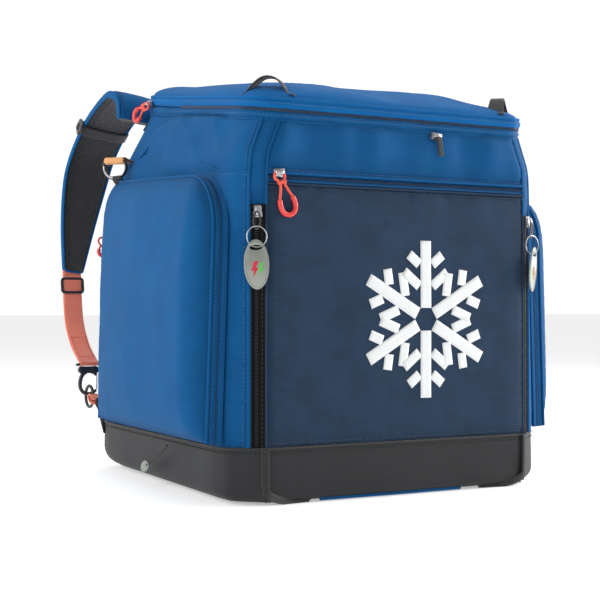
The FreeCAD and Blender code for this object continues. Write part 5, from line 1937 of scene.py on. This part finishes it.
# %% Band and buckle across the pad
band_at = min(range(PAD_STEPS), key=lambda i: (pad_line[i] - leaning(0.2565, 0.4305)).length)
loop = []
for i in range(40):
    a = turn_of(i, 40)
    loop.append(pad_line[band_at] + ACROSS * (0.0318 * blunt(math.cos(a), 0.55))
                + pad_ups[band_at] * (0.0078 * blunt(math.sin(a), 0.6)))
band_shape = sweep(loop, edgewise(0.0145, 0.0016), pad_ways[band_at], closed=True)
twins("keeper_band", band_shape, BLACK_STRAP, "bag", "plastic_black", ["strap_keeper"])
buckle_seat = seat(pad_line[band_at] - ACROSS * 0.0335, pad_ups[band_at], -ACROSS)
buckle = plate(rounded_box(0.017, 0.0175, 0.004), 0.0036, 0.0010, rounded_box(0.008, 0.0085, 0.002))
buckle = buckle.join(block((0.0105, 0.0026, 0.0028), 0.0008))
twins("keeper_buckle", buckle.moved(buckle_seat), DARK_PULL, "bag", "plastic_black")
root_at = level_at(6, 0.4255)
root_stations = spread(5.12, 6.88, 50)
root_line = [wall(s, root_at, 0.0022 + 0.0008 * math.sin(i * 0.9)) for i, s in enumerate(root_stations)]
root_outs = [wall_out(s, root_at) for s in root_stations]
root_shape = sweep(root_line, flat_section(0.019, 0.0022), root_outs)
piece("root_webbing", root_shape, BLACK_STRAP, "bag", "webbing_black", ["strap_root"])
for step in (-0.0070, 0.0070):
    line = [wall(s, root_at + step / 0.09, 0.0042) for s in root_stations]
    note_line("stitch_black", "bag", line, root_outs)
print("keeper and root webbing made")

# %% [markdown]
# The webbing is doubled: it runs down through the tri-glide, round the hook's bar and back up, and
# is sewn to itself above the hook with a boxed stitch.

# %% Webbing, end bar and tri-glide
WEB_X = -0.181
WEB_ROUTE = ((0.3055, 0.252), (0.3045, 0.240), (0.2965, 0.186), (0.2740, 0.152), (0.2430, 0.1300))
web_line = turns(smooth([(WEB_X, y, z) for y, z in WEB_ROUTE], 10), 70)
web_ways = ways_along(web_line)
web_ups = [Vector((1, 0, 0)).cross(way) for way in web_ways]
if web_ups[0].y < 0:
    web_ups = [-u for u in web_ups]
outer = [p + u * (0.0012 + 0.0012 * math.sin(math.pi * min(1, i / 60)))
         for i, (p, u) in enumerate(zip(web_line, web_ups))]
inner = [p - u * 0.0009 for p, u in zip(web_line, web_ups)]
fold = [inner[-1] + web_ways[-1] * 0.0042 - web_ups[-1] * 0.0012,
        outer[-1] + web_ways[-1] * 0.0050 + web_ups[-1] * 0.0006]
web_path = inner + fold + list(reversed(outer))
strap_section = edgewise(0.0250, 0.0015)
twins("orange_strap", sweep(web_path, strap_section, (1, 0, 0)), ORANGE_STRAP, "bag", "webbing_orange",
      ["strap_webbing"])
BOX_START, BOX_END, BOX_HALF = 46, 65, 0.0095
ACROSS_WEB = Vector((1, 0, 0))
for x in (-BOX_HALF, BOX_HALF):
    for face, base in ((1, outer), (-1, inner)):
        line = [base[i] + ACROSS_WEB * x + web_ups[i] * (face * 0.0008)
                for i in range(BOX_START, BOX_END + 1)]
        line_outs = [u * face for u in web_ups[BOX_START:BOX_END + 1]]
        note_line("stitch_orange", "bag", line, line_outs, both=True)
for i in (BOX_START, BOX_END):
    for face, base in ((1, outer), (-1, inner)):
        line = [base[i] + ACROSS_WEB * x + web_ups[i] * (face * 0.0008)
                for x in spread(-BOX_HALF, BOX_HALF, 10)]
        note_line("stitch_orange", "bag", line, web_ups[i] * face, both=True)
bar = block((0.033, 0.0058, 0.0034), 0.0012, 3).moved(shift(WEB_X, 0.243, 0.1264))
twins("strap_end_bar", bar, DARK_PULL, "bag", "webbing_orange")
glide_seat = seat(middle_of("triglide_left"), (1, 0, 0), (0, 0.98995, -0.1414))
glide = plate(rounded_box(0.0320, 0.0220, 0.0050), 0.0040, 0.0011, rounded_box(0.0258, 0.0150, 0.0026))
glide = glide.join(block((0.0262, 0.0046, 0.0034), 0.0009).moved(shift(y=-0.0024)))
glide = glide.join(block((0.0262, 0.0022, 0.0024), 0.0006).moved(shift(z=0.0068, y=-0.0010)))
twins("triglide_frame", glide.moved(glide_seat), PLASTIC, "triglide", "plastic_black", ["triglide"])
print("webbing length:", round(lengths(web_path)[-1], 3), "m")

# %% Snap hook, gate and lower ring
hook_seat = seat((WEB_X, 0.243, 0.1195), (-1, 0, 0), (0, 1, 0))
cross = plate(rounded_box(0.0280, 0.0088, 0.0043), 0.0050, 0.0012)
for x in (-0.0088, 0.0088):
    cross = cross.join(plate(oval(0.0098, 0.0098, (x, 0), 24), 0.0062, 0.0010))
JAY = ((0.0030, -0.0020), (0.0080, -0.0065), (0.0108, -0.0140), (0.0108, -0.0225), (0.0068, -0.0288),
       (0.0, -0.0308), (-0.0068, -0.0292), (-0.0106, -0.0262))
jay = smooth([(x, 0, z) for x, z in JAY], 8)
jay_sizes = spread(1.25, 0.80, len(jay) - 1)
jay_section = [(a * 0.0024, b * 0.0023) for a, b in round_section(1, 12)]
hook = cross.join(sweep(jay, jay_section, (0, 1, 0), widths=jay_sizes))
nose = smooth([(-0.0030, 0, -0.0020), (-0.0085, 0, -0.0045), (-0.0106, 0, -0.0068)], 6)
hook = hook.join(sweep(nose, round_section(0.0022, 12), (0, 1, 0)))
twins("hook_body", hook.moved(hook_seat), DARK_PULL, "snap_hook", "plastic_black", ["snap_hook"])
gate_line = ((-0.00095, -0.0008), (0.00095, -0.0008), (0.00105, -0.010), (0.00095, -0.0192),
             (-0.00095, -0.0192), (-0.00105, -0.010))
gate_path = turns([(0, x, z) for x, z in gate_line], 48, closed=True)
gate_seat = shift(-0.1695, 0.243, 0.1135)
gate_shape = sweep(gate_path, round_section(0.00062), (1, 0, 0), closed=True)
twins("gate_wire", gate_shape.moved(gate_seat), STEEL, "hook_gate", "metal_silver", ["hook_gate"])
low_ring = ring(0.0135, 0.0040, 48, 12).moved(shift(WEB_X, 0.2385, 0.0855) @ tilt(90, "Z"))
twins("lower_ring", low_ring, PLASTIC, "bag", "plastic_black", ["lower_anchor"])
TAB = ((0.2110, 0.0826), (0.2200, 0.0868), (0.2265, 0.0890), (0.2296, 0.0852), (0.2262, 0.0806),
       (0.2200, 0.0784), (0.2110, 0.0776))
tab_line = smooth([(WEB_X, y, z) for y, z in TAB], 6)
tab_shape = sweep(tab_line, edgewise(0.0118, 0.0014), (1, 0, 0))
twins("orange_tab", tab_shape, ORANGE_STRAP, "bag", "plastic_black")
wing = [(0.186, 0.092), (0.196, 0.088), (0.206, 0.0855), (0.2145, 0.0845), (0.2145, 0.0755), (0.2070, 0.0715),
        (0.1990, 0.060), (0.186, 0.042)]
wing_shape = plate(wing, 0.0030, 0.0008).moved(shift(WEB_X) @ tilt(90, "Z"))
twins("lower_wing", wing_shape, BLACK, "bag", "plastic_black")
print("hooks and rings made")

# %% [markdown]
# ## Back padding, heating and the short cord
#
# The middle of the back has a mesh cushion with sewn channels. Inside the compartment lie two warm
# mats and a small heater with a socket on each side. A short cord with an oval end hangs low on
# the left side.

# %% Back cushion
GROOVE_RISE = 0.35
GROOVE_FEET = (0.10, 0.165, 0.23, 0.295)


def quilted(start, end, low, high, columns, rows, place):
    """An upright sheet. place(across, up, edge) gives a point, edge being how far in from the rim it is."""
    made, hems = [], []
    for up in spread(low, high, rows):
        row = []
        for across in spread(start, end, columns):
            edge = min(across - start, end - across, up - low, high - up)
            row.append(place(across, up, edge))
            hems.append(math.exp(-edge / 0.004))
        made.append(row)
    return grid(made, hem=hems).facing(INSIDE)


def cushion_point(x, z, edge):
    """The cushion's face: one upright groove, and four that rise outwards."""
    near = min([abs(x)] + [abs(z - foot - GROOVE_RISE * abs(x)) for foot in GROOVE_FEET])
    dip = 0.5 * math.exp(-(near / 0.006) ** 2)
    return Vector((x, low.y + (high.y - low.y) * swell(edge, 0.018) * (1 - dip), z))


low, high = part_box("back_pad")
pad = piece("back_cushion", quilted(low.x, high.x, low.z, high.z, 60, 90, cushion_point), MESH, "bag",
            "mesh_black", ["back_pad"], thick=0.003)
frame_line = [Vector((x * 0.97, low.y + 0.0022, (low.z + high.z) / 2 + z * 0.985))
              for x, z in rounded_box(high.x - low.x, high.z - low.z, 0.014)]
frame_line = turns(frame_line, 160, closed=True)
frame_shape = sweep(frame_line, round_section(0.0024), (0, 1, 0), closed=True)
piece("back_cushion_binding", frame_shape, BINDING, "bag", "mesh_black")
print("back cushion made")


# %% Warm mats and heater
def mat(side):
    """One quilted mat, standing against a side wall."""
    low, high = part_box("heat_mats")

    def mat_point(y, z, edge):
        puff = abs(math.sin(y * 62)) ** 0.5 * abs(math.sin((z - low.z) * 57)) ** 0.4
        x = high.x - 0.004 + 0.0036 * swell(edge, 0.01) * (0.3 + 0.7 * puff)
        return Vector((x * side, y, z))

    return quilted(low.y, high.y, low.z, high.z, 50, 44, mat_point)


piece("warm_mats", mat(-1).join(mat(1)), QUILT, "bag", "heat_fabric", ["heat_mats"], thick=0.0012)
at, span = boxed("heater_unit")
case = block(span, 0.007, 4).moved(Matrix.Translation(at))
for k in range(9):
    fin = block((0.078, 0.0022, 0.0026), 0.0006)
    case = case.join(fin.moved(shift(at.x, at.y + span.y / 2, at.z - 0.022 + k * 0.0055)))
piece("heater_case_body", case, UNIT, "bag", "heater_plastic", ["heater_unit"])

SOCKET = ((0.0, 0.0078), (0.0100, 0.0078), (0.0118, 0.0072), (0.0120, 0.0058), (0.0092, 0.0052),
          (0.0088, 0.0016), (0.0112, 0.0013), (0.0114, 0.0004))
SOCKET_X, SOCKET_POINTS = 0.055, 28
at, _ = boxed("power_inlets")
inlets = Shape()
for side in (-1, 1):
    centre = Vector((side * SOCKET_X, at.y, at.z))
    rows = []
    for x, r in SOCKET:
        rows.append([centre + Vector((side * x, y, z)) for y, z in round_section(r, SOCKET_POINTS)])
    one = grid(rows, wrap=True)
    one.add_face(range(SOCKET_POINTS))
    one.add_face(range(len(one.points) - SOCKET_POINTS, len(one.points)))
    inlets.join(one)
piece("power_sockets", inlets, PLASTIC, "bag", "heater_plastic", ["power_inlets"])
print("heating made")

# %% Short cord
run = bpy.data.curves.new("side_cord", "CURVE")
run.dimensions = "3D"
CORD_THICK = 0.0022
run.bevel_depth = CORD_THICK / 2
run.bevel_resolution = 4
run.use_fill_caps = True
strand = run.splines.new("NURBS")
CORD_X = -0.205
CORD_POINTS = ((CORD_X, -0.062, 0.050), (CORD_X, -0.046, 0.040), (CORD_X, -0.027, 0.031),
               (CORD_X, -0.012, 0.026))
strand.points.add(len(CORD_POINTS) - 1)
for knot, place in zip(strand.points, CORD_POINTS):
    knot.co = (*place, 1)
strand.order_u = 3
strand.use_endpoint_u = True
run.materials.append(BLACK_CORD)
side_cord = bpy.data.objects.new("side_cord", run)
bpy.context.scene.collection.objects.link(side_cord)
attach(side_cord, "base_cord")
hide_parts("base_cord")
end_seat = seat((CORD_X, -0.0005, 0.0215), (0, 0.93, -0.36), (-1, 0, 0))
end_shape = plate(oval(0.022, 0.0118, count=36), 0.0018, 0.0005, oval(0.0040, 0.0034, (-0.0068, 0), 36))
cord_end = piece("side_cord_end", end_shape.moved(end_seat), TAG, "base_cord", "cord_black")
cord_length = lengths([Vector(p) for p in CORD_POINTS])[-1]
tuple(CORD_POINTS[0])
print("cord length:", round(cord_length, 3), "m")

# %% [markdown]
# ## Sewing and the floor
#
# Now the book is sewn: one mesh for each kind of thread or tooth on each body. Then the floor goes
# in, and the frame's first size is printed.

# %% Sew everything in the book
for (kind, body), lines in sorted(book.items()):
    sewn = sew(kind, body, lines)
    print(kind, "on", body, len(sewn.data.polygons), "faces")

# %% Floor and the frame's size
REACH = 40
ground = bpy.data.meshes.new("floor")
ground.from_pydata([(-REACH, -REACH, 0), (REACH, -REACH, 0), (REACH, REACH, 0), (-REACH, REACH, 0)],
                   [], [(0, 1, 2, 3)])
floor = bpy.data.objects.new("floor", ground)
bpy.context.scene.collection.objects.link(floor)
f = Finish("pale_floor")
cloud = f.noise(f.place(cloth=False), 3, 3)
pale = f.surface(f.blend(cloud, srgb(236, 236, 237), srgb(240, 240, 240)), 0.9, emission_color=(1, 1, 1, 1),
                 emission_strength=0.42)
ground.materials.append(pale)
bpy.context.view_layer.update()
print("size before:", [[round(v, 4) for v in c] for c in cad_box])
